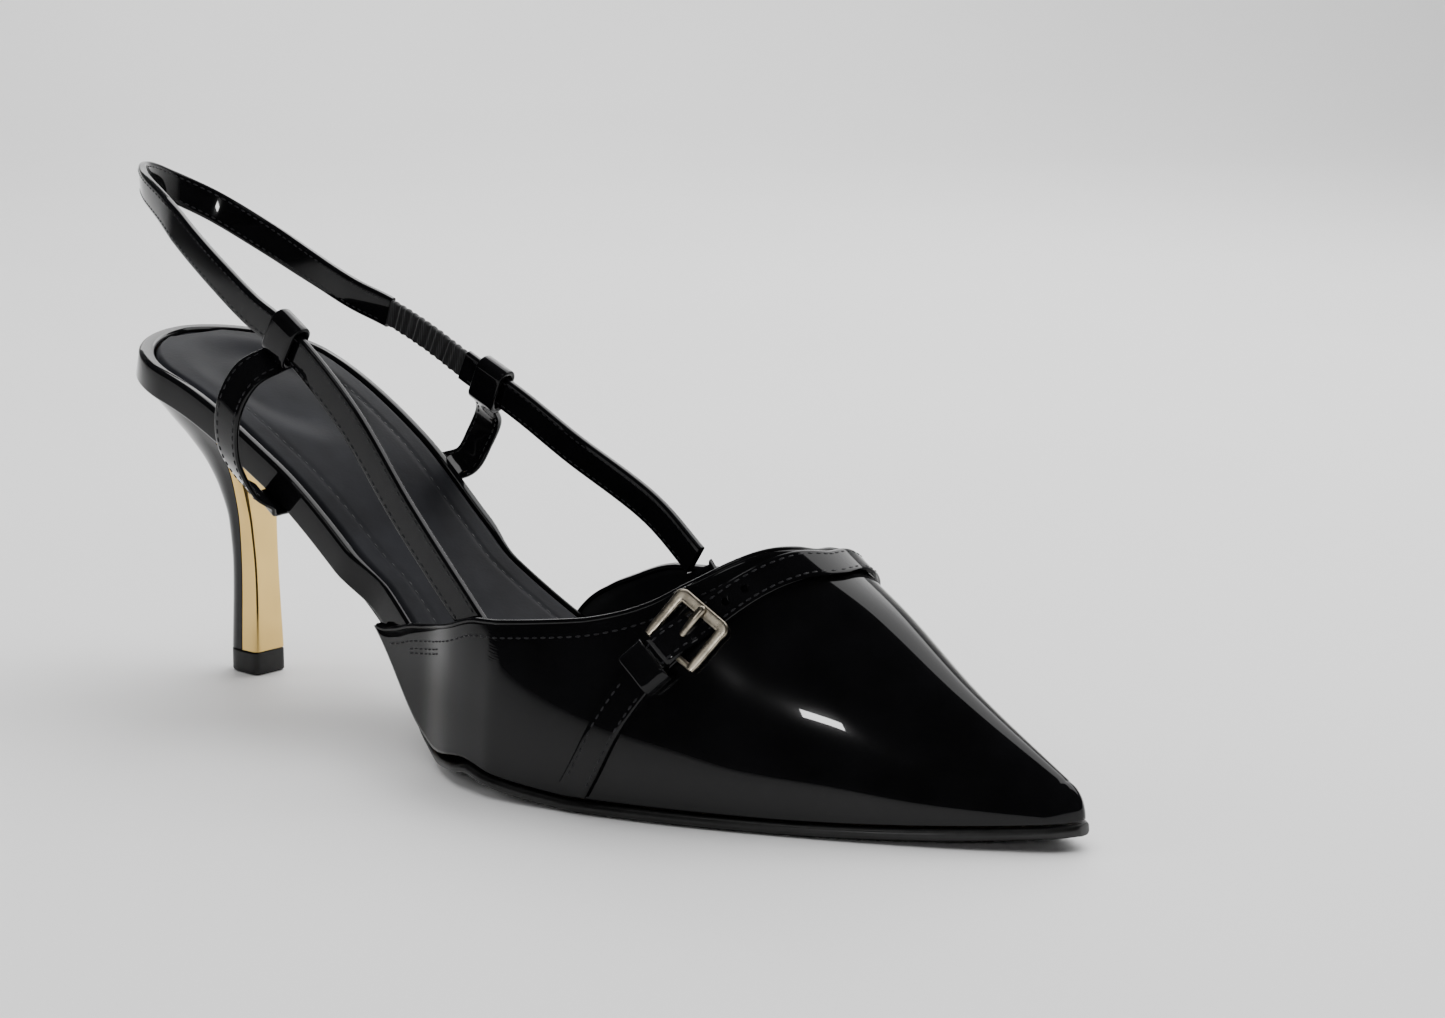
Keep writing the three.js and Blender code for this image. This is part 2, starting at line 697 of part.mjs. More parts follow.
const SOLE_TOP = BED_DEPTH + GAP;
const soleLip = (x) => OUTSOLE_LIP * (1 - smooth(x, 0.9 * LENGTH, LENGTH));
const soleInset = (share) => {
  const x = share * LENGTH;
  return mix(WAIST_SOLE_INSET, -soleLip(x), smooth(x, QUARTER_LATERAL + 25, QUARTER_LATERAL + 41));
};
const soleThickness = (share) =>
  mix(WAIST_SOLE_THICKNESS, OUTSOLE_THICKNESS, smooth(share * LENGTH, 0.44 * LENGTH, 0.6 * LENGTH));
const SOLE_REAR = shareOf(58);
const tuckBelow = (share) => {
  const x = share * LENGTH;
  const tuck = tuckUnder(x - (SOLE_TOP + 4) * Math.sin(footbedPitch(x)));
  return 1.07 * tuck + Math.min(tuck, 3 * GAP);
};
add(
  "outsole",
  slab(46, 2, (u, v, t) => {
    const share = mix(SOLE_REAR, 1, 1 - (1 - u) ** 1.3);
    const depth = SOLE_TOP + tuckBelow(share) + (1 - t) * soleThickness(share);
    return bedPoint(share, 2 * v - 1, soleInset(share), depth);
  }),
  rubber,
);

// The filler between the board and the sole, where the quarters reach below the board.
add(
  "bottom_filler",
  slab(14, 2, (u, v, t) => {
    const share = mix(shareOf(QUARTER_LATERAL + 20), shareOf(BALL_LATERAL_X - 6.5), u);
    const depth = SOLE_TOP + mix(Math.max(tuckBelow(share) - 1.2, 0.5), 0, t);
    return bedPoint(share, 2 * v - 1, LINED_INSET + 1.5, depth);
  }),
  foam,
);

// ---- The upper -----------------------------------------------------------------------

const PUFF_X = LENGTH - PUFF_LENGTH;
const liningOuter = (x) => {
  const under = smooth(x, PUFF_X - 16, PUFF_X - 6) * (PUFF_THICKNESS + GAP);
  return UPPER_THICKNESS + GAP + under + 0.2 * smooth(x, LENGTH - 16, LENGTH - 4);
};
add(
  "vamp_upper",
  upperShell({ rear: topline, outer: () => 0, inner: () => UPPER_THICKNESS }),
  patent,
);
add(
  "vamp_lining",
  upperShell({
    rear: topline,
    outer: liningOuter,
    inner: (x) => liningOuter(x) + LINING_THICKNESS,
  }),
  softBlack,
);
add(
  "toe_puff",
  upperShell({
    rear: () => PUFF_X,
    outer: () => UPPER_THICKNESS + GAP,
    inner: () => UPPER_THICKNESS + GAP + PUFF_THICKNESS,
    along: 6,
  }),
  fibreboard,
);

// Directions on the upper's surface at a place: x-wards, over the foot, and outwards.
function surfaceAt(x, angle) {
  const step = 0.03;
  const at = upperPoint(x, angle, 0);
  const slopeOf = (before, after) => after.sub(before).divideScalar(2 * step);
  const alongX = slopeOf(upperPoint(x - step, angle, 0), upperPoint(x + step, angle, 0));
  const overFoot = slopeOf(upperPoint(x, angle - step, 0), upperPoint(x, angle + step, 0));
  const out = vec(0, 0, 0).crossVectors(alongX, overFoot).normalize();
  if (out.dot(vec(0, 0, 1)) < -0.2) out.negate();
  return { at, alongX, overFoot, out };
}

// A route over the upper, from [angle, x] points, with the share u running along it.
function upperRoute(points) {
  const first = points[0][0];
  const last = points[points.length - 1][0];
  const xAt = curveThrough(points);
  return (u) => {
    const angle = mix(first, last, u);
    return { angle, x: xAt(angle) };
  };
}

// Moves a place on the route sideways by a distance measured on the surface.
function sideways(route, u, distance) {
  const here = route(u);
  const { at, alongX, overFoot, out } = surfaceAt(here.x, here.angle);
  const next = route(u + 0.01);
  const forward = upperPoint(next.x, next.angle, 0).sub(at).normalize();
  const across = vec(0, 0, 0).crossVectors(forward, out).normalize();
  const [a, b, c] = [alongX.dot(alongX), alongX.dot(overFoot), overFoot.dot(overFoot)];
  const [p, q] = [across.dot(alongX) * distance, across.dot(overFoot) * distance];
  const scale = 1 / (a * c - b * b);
  return { x: here.x + (p * c - q * b) * scale, angle: here.angle + (q * a - p * b) * scale };
}

// The tape folded over the top edge of the upper and its lining, clear of the footbed.
const EDGE_STEP = 1 / (AROUND - 2);
add(
  "topline_binding",
  slab(AROUND - 4, 1, (u, v, t) => {
    const route = (w) => {
      const angle = edgeAngle(mix(EDGE_STEP, 1 - EDGE_STEP, w));
      return { angle, x: topline(angle) };
    };
    const { angle, x } = route(u);
    const { at, out } = surfaceAt(x, angle);
    const next = route(Math.min(u + 0.004, 1));
    const before = route(Math.max(u - 0.004, 0));
    const run = upperPoint(next.x, next.angle, 0).sub(upperPoint(before.x, before.angle, 0));
    const away = vec(0, 0, 0).crossVectors(out, run.normalize()).normalize();
    const depth = UPPER_THICKNESS + GAP + LINING_THICKNESS;
    at.addScaledVector(away, GAP + v * BINDING_WIDTH);
    return at.addScaledVector(out, -t * depth);
  }),
  patent,
);

// ---- The strap over the vamp, and its buckle -----------------------------------------

// The strap's middle, from the lateral edge of the sole over the throat to the medial edge.
const BUCKLE_ANGLE = 0.66;
const LATERAL_ROUTE = [
  [0.03, 31.5],
  [0.13, 28.8],
  [0.26, 25.6],
  [0.47, 19.2],
  [BUCKLE_ANGLE, 12.9],
  [0.79, 9.3],
  [1.06, 3.4],
  [1.28, -0.3],
].map(([angle, behind]) => [angle, THROAT_X - behind]);
const MEDIAL_ROUTE = [
  [1.28, -3.2],
  [1.06, -1],
  [0.79, 5.5],
  [0.66, 9.5],
  [0.47, 16.5],
  [0.26, 23.5],
  [0.13, 27],
  [0.03, 30],
].map(([angle, behind]) => [Math.PI - angle, THROAT_X - behind]);
const strapRoute = upperRoute([...LATERAL_ROUTE, [MIDDLE_ANGLE, THROAT_X + 3.8], ...MEDIAL_ROUTE]);

// Turns a distance along the strap, counted from the buckle's middle, into a share of it.
const ROUTE_STEPS = 400;
const routeLengths = [0];
for (let i = 1; i <= ROUTE_STEPS; i += 1) {
  const [from, to] = [strapRoute((i - 1) / ROUTE_STEPS), strapRoute(i / ROUTE_STEPS)];
  const step = upperPoint(to.x, to.angle, 0).distanceTo(upperPoint(from.x, from.angle, 0));
  routeLengths.push(routeLengths[i - 1] + step);
}
const buckleShare = (BUCKLE_ANGLE - 0.03) / (Math.PI - 0.06);
const buckleStart = routeLengths[Math.round(buckleShare * ROUTE_STEPS)];
function shareAt(distance) {
  const target = clamp(distance + buckleStart, 0, routeLengths[ROUTE_STEPS]);
  const i = Math.max(routeLengths.findIndex((length) => length >= target), 1);
  const part = (target - routeLengths[i - 1]) / (routeLengths[i] - routeLengths[i - 1]);
  return (i - 1 + part) / ROUTE_STEPS;
}
const STRAP_START = -buckleStart + 0.5;
const STRAP_END = routeLengths[ROUTE_STEPS] - buckleStart - 0.5;

function upperStrap({ from, to, lift, steps }) {
  return slab(steps, 2, (u, v, t) => {
    const distance = mix(from, to, u);
    const { x, angle } = sideways(strapRoute, shareAt(distance), (v - 0.5) * STRAP_WIDTH);
    const { at, out } = surfaceAt(x, angle);
    return at.addScaledVector(out, lift(distance) + t * STRAP_THICKNESS);
  });
}

// The buckle's own directions: along the strap, across it, and out of the upper.
const buckleAt = strapRoute(buckleShare);
const { at: buckleOrigin, out: buckleOut } = surfaceAt(buckleAt.x, buckleAt.angle);
const aheadAt = strapRoute(buckleShare + 0.02);
const buckleAlong = upperPoint(aheadAt.x, aheadAt.angle, 0).sub(buckleOrigin);
buckleAlong.addScaledVector(buckleOut, -buckleAlong.dot(buckleOut)).normalize();
const strapAlong = buckleAlong.clone();
buckleAlong.applyAxisAngle(buckleOut, BUCKLE_TWIST);
const buckleAcross = vec(0, 0, 0).crossVectors(buckleAlong, buckleOut).normalize();
const buckleFrame = new THREE.Matrix4()
  .makeBasis(buckleAcross, buckleAlong, buckleOut)
  .setPosition(buckleOrigin);
const onBuckle = (across, along, out) => vec(across, along, out).applyMatrix4(buckleFrame);

const PIN_ALONG = -(BUCKLE_LENGTH - BUCKLE_BAR) / 2;
const LOOP_RADIUS = PIN_RADIUS + GAP + STRAP_THICKNESS;
const PIN_OUT = GAP + LOOP_RADIUS;
const FRAME_OUT = PIN_OUT + 0.2;
const PRONG_SLOT = 2 * PRONG_RADIUS + 2 * GAP + 0.4;
const pinRod = (radius, half) =>
  rod(onBuckle(-half, PIN_ALONG, PIN_OUT), onBuckle(half, PIN_ALONG, PIN_OUT), radius, 16);

// A flat outline, thick enough, laid on the buckle's directions.
function buckleBlock(outline, depth, place) {
  const block = new THREE.ExtrudeGeometry(outline, { depth, bevelEnabled: false, curveSegments: 5 });
  return solidOf(block.applyMatrix4(place));
}
function roundedBox(width, height, radius, centreY = 0) {
  const [x, y] = [width / 2, height / 2];
  const shape = new THREE.Shape();
  shape.moveTo(-x + radius, centreY - y);
  shape.lineTo(x - radius, centreY - y);
  shape.absarc(x - radius, centreY - y + radius, radius, -Math.PI / 2, 0);
  shape.absarc(x - radius, centreY + y - radius, radius, 0, Math.PI / 2);
  shape.absarc(-x + radius, centreY + y - radius, radius, Math.PI / 2, Math.PI);
  shape.absarc(-x + radius, centreY - y + radius, radius, Math.PI, 1.5 * Math.PI);
  return shape;
}

// The lower strap comes up from the sole, and its end is folded round the buckle's pin.
const chapeLift = () => GAP;
const slotBlock = (low, high, bottom, top) => {
  const outline = roundedBox(PRONG_SLOT, high - low, 0.4, (low + high) / 2);
  const place = buckleFrame.clone().multiply(new THREE.Matrix4().makeTranslation(0, 0, bottom));
  return buckleBlock(outline, top - bottom, place);
};
let chape = upperStrap({ from: STRAP_START, to: PIN_ALONG, lift: chapeLift, steps: 22 });
chape = chape.add(pinRod(LOOP_RADIUS, STRAP_WIDTH / 2));
chape = chape.subtract(pinRod(PIN_RADIUS + GAP, STRAP_WIDTH));
chape = chape.subtract(slotBlock(PIN_ALONG - LOOP_RADIUS, PIN_ALONG + LOOP_RADIUS + 1, -1, 9));
add("vamp_strap_lower", chape, patent);

// The upper strap runs from the medial edge over the throat, under the frame's far side,
// over the folded end, and down into its keeper.
const TAIL = PIN_ALONG - 9;
const billetLift = curveThrough([
  [TAIL, GAP + STRAP_THICKNESS + GAP + 0.3],
  [PIN_ALONG - 4.5, GAP + STRAP_THICKNESS + GAP + 1],
  [PIN_ALONG - 0.5, PIN_OUT + LOOP_RADIUS + GAP + 0.2],
  [PIN_ALONG + 1.5, PIN_OUT + LOOP_RADIUS + 0.2],
  [PIN_ALONG + 8.5, GAP + 0.1],
  [-PIN_ALONG, GAP],
]);
let billet = upperStrap({ from: TAIL, to: STRAP_END, lift: billetLift, steps: 52 });
billet = billet.subtract(slotBlock(PIN_ALONG + 0.4, PIN_ALONG + 9.2, 0.1, 9));
add("vamp_strap_upper", billet, patent);

const KEEPER_ALONG = PIN_ALONG - 2.6 - KEEPER_WIDTH / 2;
const KEEPER_WALL = 0.9;
const keeperInner = STRAP_WIDTH / 2 + GAP + 0.7;
const keeperTop = billetLift(KEEPER_ALONG + 1.4) + STRAP_THICKNESS + GAP + 0.8;
const keeperArch = new THREE.Shape();
const archOuter = keeperInner + KEEPER_WALL;
keeperArch.moveTo(-archOuter, GAP + 0.2);
keeperArch.lineTo(-keeperInner, GAP + 0.2);
keeperArch.lineTo(-keeperInner, keeperTop);
keeperArch.lineTo(keeperInner, keeperTop);
keeperArch.lineTo(keeperInner, GAP + 0.2);
keeperArch.lineTo(archOuter, GAP + 0.2);
keeperArch.lineTo(archOuter, keeperTop + KEEPER_WALL - 0.6);
keeperArch.quadraticCurveTo(archOuter, keeperTop + KEEPER_WALL, archOuter - 0.6, keeperTop + KEEPER_WALL);
keeperArch.lineTo(0.6 - archOuter, keeperTop + KEEPER_WALL);
keeperArch.quadraticCurveTo(-archOuter, keeperTop + KEEPER_WALL, -archOuter, keeperTop + KEEPER_WALL - 0.6);
const archPlace = strapRoute(shareAt(KEEPER_ALONG));
const archSurface = surfaceAt(archPlace.x, archPlace.angle);
const archAlong = strapAlong.clone();
archAlong.addScaledVector(archSurface.out, -archAlong.dot(archSurface.out));
archAlong.normalize();
const archAcross = vec(0, 0, 0).crossVectors(archSurface.out, archAlong).normalize();
const archFrame = new THREE.Matrix4()
  .makeBasis(archAcross, archSurface.out, archAlong.clone().negate())
  .setPosition(archSurface.at.clone().addScaledVector(archAlong, KEEPER_WIDTH / 2));
add("vamp_strap_keeper", buckleBlock(keeperArch, KEEPER_WIDTH, archFrame), patent);

// The frame is open at its lower end, where the pin joins its sides.
const frameOuter = roundedBox(BUCKLE_WIDTH, BUCKLE_LENGTH, 1.6);
const openingLength = BUCKLE_LENGTH - BUCKLE_BAR + 2;
const openingMiddle = -BUCKLE_BAR / 2 - 1;
const framePlace = buckleFrame
  .clone()
  .multiply(new THREE.Matrix4().makeTranslation(0, 0, FRAME_OUT - BUCKLE_THICKNESS / 2));
const openingPlace = framePlace.clone().multiply(new THREE.Matrix4().makeTranslation(0, 0, -1));
let frame = buckleBlock(frameOuter, BUCKLE_THICKNESS, framePlace);
frame = frame.subtract(
  buckleBlock(
    roundedBox(BUCKLE_WIDTH - 2 * BUCKLE_BAR, openingLength, 0.8, openingMiddle),
    BUCKLE_THICKNESS + 2,
    openingPlace,
  ),
);
frame = frame.subtract(pinRod(PIN_RADIUS + 0.05, BUCKLE_WIDTH / 2 - 0.6));
add("buckle_frame", frame, antique);
add("buckle_pin", pinRod(PIN_RADIUS, BUCKLE_WIDTH / 2 - 0.9), antique);

// The prong turns on the pin, and its tip rests on the frame's far side.
const prongEye = PIN_RADIUS + 0.25;
const tipOut = FRAME_OUT + BUCKLE_THICKNESS / 2 + 1.5 * GAP + PRONG_RADIUS;
const tipAlong = BUCKLE_LENGTH / 2 - 0.3;
let prong = pinRod(prongEye + 0.6, PRONG_RADIUS + 0.05);
prong = prong.add(
  rod(onBuckle(0, PIN_ALONG, PIN_OUT), onBuckle(0, tipAlong, tipOut), PRONG_RADIUS, 10),
);
prong = prong.subtract(pinRod(prongEye, 2));
add("buckle_prong", prong, antique);

// ---- The sling -----------------------------------------------------------------------

const outwardSling = (at) => vec(Math.min(at.x - 24, 0), at.y, 0).normalize();

// The straps leave the upper on the inner side of its lining.
const TAB_DEPTH = UPPER_THICKNESS + LINING_THICKNESS + 3 * GAP + SLING_THICKNESS / 2 + 1.9;
function insideUpper(x, angle) {
  const { at, out } = surfaceAt(x, angle);
  return at.addScaledVector(out, -TAB_DEPTH);
}
const lateralRoot = insideUpper(QUARTER_LATERAL + 33.5, 0.325);
const lateralTab = insideUpper(QUARTER_LATERAL + 42, 0.2);
const medialRoot = insideUpper(QUARTER_MEDIAL + 40, Math.PI - 0.475);
const medialTab = insideUpper(QUARTER_MEDIAL + 48, Math.PI - 0.34);
const hingeDirection = medialRoot.clone().sub(lateralRoot).normalize();
const rootDisc = (centre, radius, half) => {
  const reach = hingeDirection.clone().multiplyScalar(half);
  return rod(centre.clone().sub(reach), centre.clone().add(reach), radius, 24);
};
const ROOT_RADIUS = SLING_WIDTH / 2;

// The middle of the whole strap, from the lateral root round the heel to the medial root.
const LATERAL_JOIN = vec(69.5, -28, 87.8);
const ELASTIC_JOIN = vec(45.6, 26, 85.5);
const MEDIAL_JOIN = vec(68.8, 27.3, 75.6);
const loopPath = smoothPath([
  lateralRoot.toArray(),
  [105.3, -27.1, 53.6],
  [88.4, -27.7, 73],
  LATERAL_JOIN.toArray(),
  [57, -27, 93],
  [45, -25.5, 98.9],
  [31, -22, 104.9],
  [15.6, -17, 111.2],
  [2, -11, 114.8],
  [-8.5, -2, 115.5],
  [-12, 8, 112.4],
  [-6.5, 16.5, 107.4],
  [5.9, 22.5, 100.2],
  [18.7, 25, 94.2],
  [33.2, 25.5, 88.9],
  ELASTIC_JOIN.toArray(),
  [57.5, 26.6, 81],
  MEDIAL_JOIN.toArray(),
  [85.6, 28.4, 68],
  [100.9, 29, 60.3],
  [125.2, 29.6, 49.2],
  medialRoot.toArray(),
]);
loopPath.arcLengthDivisions = 800;
const loopLength = loopPath.getLength();
function loopShare(place) {
  const shares = Array.from({ length: 801 }, (_, i) => i / 800);
  const away = shares.map((share) => loopPath.getPointAt(share).distanceTo(place));
  return shares[away.indexOf(Math.min(...away))];
}

// The part of the strap between two places, less half a gap at each end that meets another.
function slingStrap({ from, to, width, thickness, steps }) {
  return slab(steps, 1, (u, v, t) => {
    const { at, out, across } = frameAt(loopPath, mix(from, to, u), outwardSling);
    at.addScaledVector(across, (v - 0.5) * width);
    return at.addScaledVector(out, (t - 0.5) * thickness);
  });
}
const halfGap = GAP / 2 / loopLength;
const lateralJoin = loopShare(LATERAL_JOIN);
const elasticJoin = loopShare(ELASTIC_JOIN);
const medialJoin = loopShare(MEDIAL_JOIN);

function slingTab(name, root, end) {
  const path = smoothPath([root.toArray(), end.toArray()]);
  const tab = band({ path, outwards: outwardSling, width: SLING_WIDTH, thickness: SLING_THICKNESS });
  add(name, tab.subtract(rootDisc(root, ROOT_RADIUS + GAP, 5)), patent);
}
slingTab("sling_tab_lateral", lateralRoot, lateralTab);
slingTab("sling_tab_medial", medialRoot, medialTab);

const strapSize = { width: SLING_WIDTH, thickness: SLING_THICKNESS };
const lateralStrap = slingStrap({ from: 0, to: lateralJoin - halfGap, steps: 18, ...strapSize });
const medialStrap = slingStrap({ from: medialJoin + halfGap, to: 1, steps: 20, ...strapSize });
const rootEnd = (root) => rootDisc(root, ROOT_RADIUS, SLING_THICKNESS / 2);
add("sling_strap_lateral", lateralStrap.add(rootEnd(lateralRoot)), patent);
add("sling_strap_medial", medialStrap.add(rootEnd(medialRoot)), patent);
add(
  "sling_heel_strap",
  slingStrap({ from: lateralJoin + halfGap, to: elasticJoin - halfGap, steps: 52, ...strapSize }),
  patent,
);
add(
  "sling_elastic",
  slingStrap({
    from: elasticJoin + halfGap,
    to: medialJoin - halfGap,
    width: SLING_WIDTH - ELASTIC_NARROWER,
    thickness: ELASTIC_THICKNESS,
    steps: 8,
  }),
  softBlack,
);

// A keeper is a strip that comes from under the footbed's edge and loops round the strap.
function keeperLoop({ name, centre, legPoints, side, x }) {
  const { at, along, out, across } = frameAt(loopPath, loopShare(centre), outwardSling);
  const [hollowX, hollowY] = [SLING_THICKNESS + 1.2, SLING_WIDTH + 1.2];
  const ring = roundedBox(hollowX + 2 * LOOP_WALL, hollowY + 2 * LOOP_WALL, 1.3);
  ring.holes.push(roundedBox(hollowX, hollowY, 0.5));
  const place = new THREE.Matrix4()
    .makeBasis(out, across, along.clone().negate())
    .setPosition(at.clone().addScaledVector(along, LOOP_LENGTH / 2));
  const down = across.z > 0 ? -1 : 1;
  const foot = at.clone().addScaledVector(across, (down * (hollowY + LOOP_WALL)) / 2);
  const low = BED_DEPTH + GAP + LOOP_WALL / 2;
  const beside = (inset, depth) => {
    const edge = bedPoint(shareOf(x), side, 0, depth);
    return [edge.x, edge.y - side * inset, edge.z];
  };
  const route = smoothPath([
    foot.toArray(),
    ...legPoints,
    beside(-3, low - 1.8),
    beside(-1.6, low + 0.2),
    beside(1, low + 0.2),
    beside(3.4, low + 0.2),
  ]);
  const bedSlope = vec(Math.cos(footbedPitch(x)), 0, -Math.sin(footbedPitch(x)));
  const stripAlong = along.clone().multiplyScalar(Math.sign(along.x));
  const leg = slab(18, 1, (u, v, t) => {
    const tangent = route.getTangentAt(u);
    const wide = stripAlong.clone().lerp(bedSlope, smooth(u, 0.3, 0.7));
    const acrossLeg = wide.clone().addScaledVector(tangent, -wide.dot(tangent)).normalize();
    const face = vec(0, 0, 0).crossVectors(acrossLeg, tangent);
    const point = route.getPointAt(u).addScaledVector(acrossLeg, (v - 0.5) * LOOP_LENGTH);
    return point.addScaledVector(face, (t - 0.5) * LOOP_WALL);
  });
  add(name, buckleBlock(ring, LOOP_LENGTH, place).add(leg), patent);
}
keeperLoop({
  name: "sling_keeper_lateral",
  centre: LATERAL_JOIN,
  legPoints: [
    [65.5, -35.6, 80.5],
    [62.5, -37.8, 74.5],
    [61, -38, 68.5],
    [60.2, -36.4, 61.5],
    [60.4, -31.8, 54.2],
  ],
  side: -1,
  x: 63.5,
});
keeperLoop({
  name: "sling_keeper_medial",
  centre: vec(77, 28, 72.2),
  legPoints: [
    [72, 32, 63.5],
    [68.5, 32.8, 58],
    [65.5, 31, 52],
  ],
  side: 1,
  x: 65,
});

shoe.updateMatrixWorld(true);
const bounds = new THREE.Box3().setFromObject(shoe);
const middle = bounds.getCenter(vec(0, 0, 0));
shoe.position.set(-middle.x, -middle.y, -bounds.min.z);

export default shoe;
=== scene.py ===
"""A slingback high heel pump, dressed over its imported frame."""

import math
from bisect import bisect_left

import bmesh
import bpy
from bpy.props import FloatProperty, FloatVectorProperty, PointerProperty
from mathutils import Matrix, Vector


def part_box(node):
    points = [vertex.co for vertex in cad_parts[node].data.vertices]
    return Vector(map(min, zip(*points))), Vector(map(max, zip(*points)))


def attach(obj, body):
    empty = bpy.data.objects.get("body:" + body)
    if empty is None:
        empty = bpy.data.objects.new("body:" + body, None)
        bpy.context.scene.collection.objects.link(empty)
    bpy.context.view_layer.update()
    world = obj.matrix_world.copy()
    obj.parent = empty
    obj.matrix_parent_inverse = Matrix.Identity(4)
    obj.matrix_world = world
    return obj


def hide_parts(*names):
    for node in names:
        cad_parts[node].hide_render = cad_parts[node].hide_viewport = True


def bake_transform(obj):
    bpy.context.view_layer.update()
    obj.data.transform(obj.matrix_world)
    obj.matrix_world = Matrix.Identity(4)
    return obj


bl_info = {
    "name": "Slingback Pump",
    "version": (1, 0, 0),
    "blender": (4, 5, 0),
    "location": "View3D > Sidebar > Pump",
    "description": "Builds the visible pieces of a pointed slingback pump",
    "category": "Object",
}

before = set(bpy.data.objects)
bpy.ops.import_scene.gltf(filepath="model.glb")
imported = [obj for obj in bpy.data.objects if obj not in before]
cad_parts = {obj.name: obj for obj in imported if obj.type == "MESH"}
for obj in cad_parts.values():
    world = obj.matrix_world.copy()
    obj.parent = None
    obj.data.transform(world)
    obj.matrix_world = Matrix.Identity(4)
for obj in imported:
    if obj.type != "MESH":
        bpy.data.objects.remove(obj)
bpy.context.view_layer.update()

# ---- Sizes of the last, in millimetres from the back of the seat -------------------------

GAP = 0.3
LENGTH = 249.0
SEAT_HALF_WIDTH = 25.4
SEAT_ARC = 24.0
WAIST_LATERAL = 22.6
WAIST_MEDIAL = 23.4
BALL_LATERAL = 35.6
BALL_MEDIAL = 42.0
TOE_SWING = 19.8
TOE_HALF_WIDTH = 3.5
TOE_ARC = 5.0
SEAT_HEIGHT = 80.7
TREAD_HEIGHT = 10.0
TOE_SPRING = 2.8
THROAT_HEIGHT = 53.2
TOE_BOX_HEIGHT = 13.4
RIDGE_ROUNDNESS = 1.75
THROAT_ROUNDNESS = 2.15
THROAT_X = 190.0
QUARTER_LATERAL = 91.0
QUARTER_MEDIAL = 99.0
QUARTER_TUCK = 6.5
QUARTER_ANGLE = 0.04
EDGE_RAISE = 0.32
BED_DEPTH = 7.2
RAND_WIDTH = 2.9
TUCKED_RAND_INSET = 3.45
TUCKED_RAND_WIDTH = 1.5
LINED_INSET = 3.65
UPPER_THICKNESS = 1.0
LINING_THICKNESS = 0.8
STRAP_WIDTH = 6.5
STRAP_THICKNESS = 1.1
SLING_WIDTH = 7.5
SLING_THICKNESS = 1.8
LOOP_WALL = 1.2
LOOP_LENGTH = 8.0
PLATE_X = 25.5
TUBE_X = 22.3
TOP_PIECE_HEIGHT = 5.3
HEEL_FOOT = TOP_PIECE_HEIGHT + GAP
MIDDLE_ANGLE = math.pi / 2

screw_low, screw_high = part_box("heel_screw")
screw_middle = (screw_low + screw_high) / 2
ORIGIN = Vector((screw_middle.x - TUBE_X / 1000, screw_middle.y, 0.0))


def vec(x, y, z):
    return Vector((x, y, z))


def placed(point):
    """A point of the last, in the frame's metres."""
    return ORIGIN + Vector(point) / 1000


def mix(low, high, share):
    return low + (high - low) * share


def clamp(value, low=0.0, high=1.0):
    return max(low, min(high, value))


def smooth(value, low, high):
    share = clamp((value - low) / (high - low))
    return share * share * (3 - 2 * share)


def curve_through(points):
    """A smooth curve through [x, y] points that never overshoots them."""
    xs, ys = [p[0] for p in points], [p[1] for p in points]
    rise = [(ys[i + 1] - ys[i]) / (xs[i + 1] - xs[i]) for i in range(len(xs) - 1)]
    slope = [rise[0]]
    for before, after in zip(rise, rise[1:]):
        slope.append(0.0 if before * after <= 0 else 2 * before * after / (before + after))
    slope.append(rise[-1])

    def at(x):
        if x <= xs[0]:
            return ys[0]
        if x >= xs[-1]:
            return ys[-1]
        i = next(k for k in range(len(xs) - 1) if x <= xs[k + 1])
        h = xs[i + 1] - xs[i]
        t = (x - xs[i]) / h
        start = ys[i] * (1 + 2 * t) * (1 - t) ** 2 + slope[i] * h * t * (1 - t) ** 2
        return start + ys[i + 1] * t * t * (3 - 2 * t) + slope[i + 1] * h * t * t * (t - 1)

    return at


# ---- The last ---------------------------------------------------------------------------

BALL_LATERAL_X = 0.552 * LENGTH
BALL_MEDIAL_X = 0.672 * LENGTH

lateral_rear = curve_through([
    (SEAT_ARC, SEAT_HALF_WIDTH),
    (0.2 * LENGTH, 0.976 * SEAT_HALF_WIDTH),
    (0.335 * LENGTH, WAIST_LATERAL),
    (0.44 * LENGTH, mix(WAIST_LATERAL, BALL_LATERAL, 0.36)),
    (0.5 * LENGTH, mix(WAIST_LATERAL, BALL_LATERAL, 0.82)),
    (BALL_LATERAL_X, BALL_LATERAL),
])
medial_rear = curve_through([
    (SEAT_ARC, SEAT_HALF_WIDTH),
    (0.2 * LENGTH, 0.976 * SEAT_HALF_WIDTH),
    (0.33 * LENGTH, WAIST_MEDIAL),
    (0.44 * LENGTH, mix(WAIST_MEDIAL, BALL_MEDIAL, 0.29)),
    (0.56 * LENGTH, mix(WAIST_MEDIAL, BALL_MEDIAL, 0.8)),
    (BALL_MEDIAL_X, BALL_MEDIAL),
])
edge_height = curve_through([
    (share * LENGTH, mix(TREAD_HEIGHT, SEAT_HEIGHT, height))
    for share, height in [
        (0, 1), (0.12, 0.892), (0.24, 0.686), (0.36, 0.366), (0.48, 0.103), (0.55, 0.03), (0.63, 0),
    ]
])
ridge_height = curve_through([
    (0.36 * LENGTH, THROAT_HEIGHT + 76),
    (0.6 * LENGTH, THROAT_HEIGHT + 33),
    (THROAT_X - 13, THROAT_HEIGHT + 12),
    (THROAT_X, THROAT_HEIGHT),
    (0.828 * LENGTH, mix(TOE_BOX_HEIGHT, THROAT_HEIGHT, 0.73)),
    (0.9 * LENGTH, mix(TOE_BOX_HEIGHT, THROAT_HEIGHT, 0.367)),
    (LENGTH - 4, TOE_BOX_HEIGHT),
])


def end_arc(x):
    back = clamp(1 - x / SEAT_ARC)
    front = clamp((x - LENGTH + TOE_ARC) / TOE_ARC)
    return math.sqrt(1 - back**2) * math.sqrt(1 - front**2)


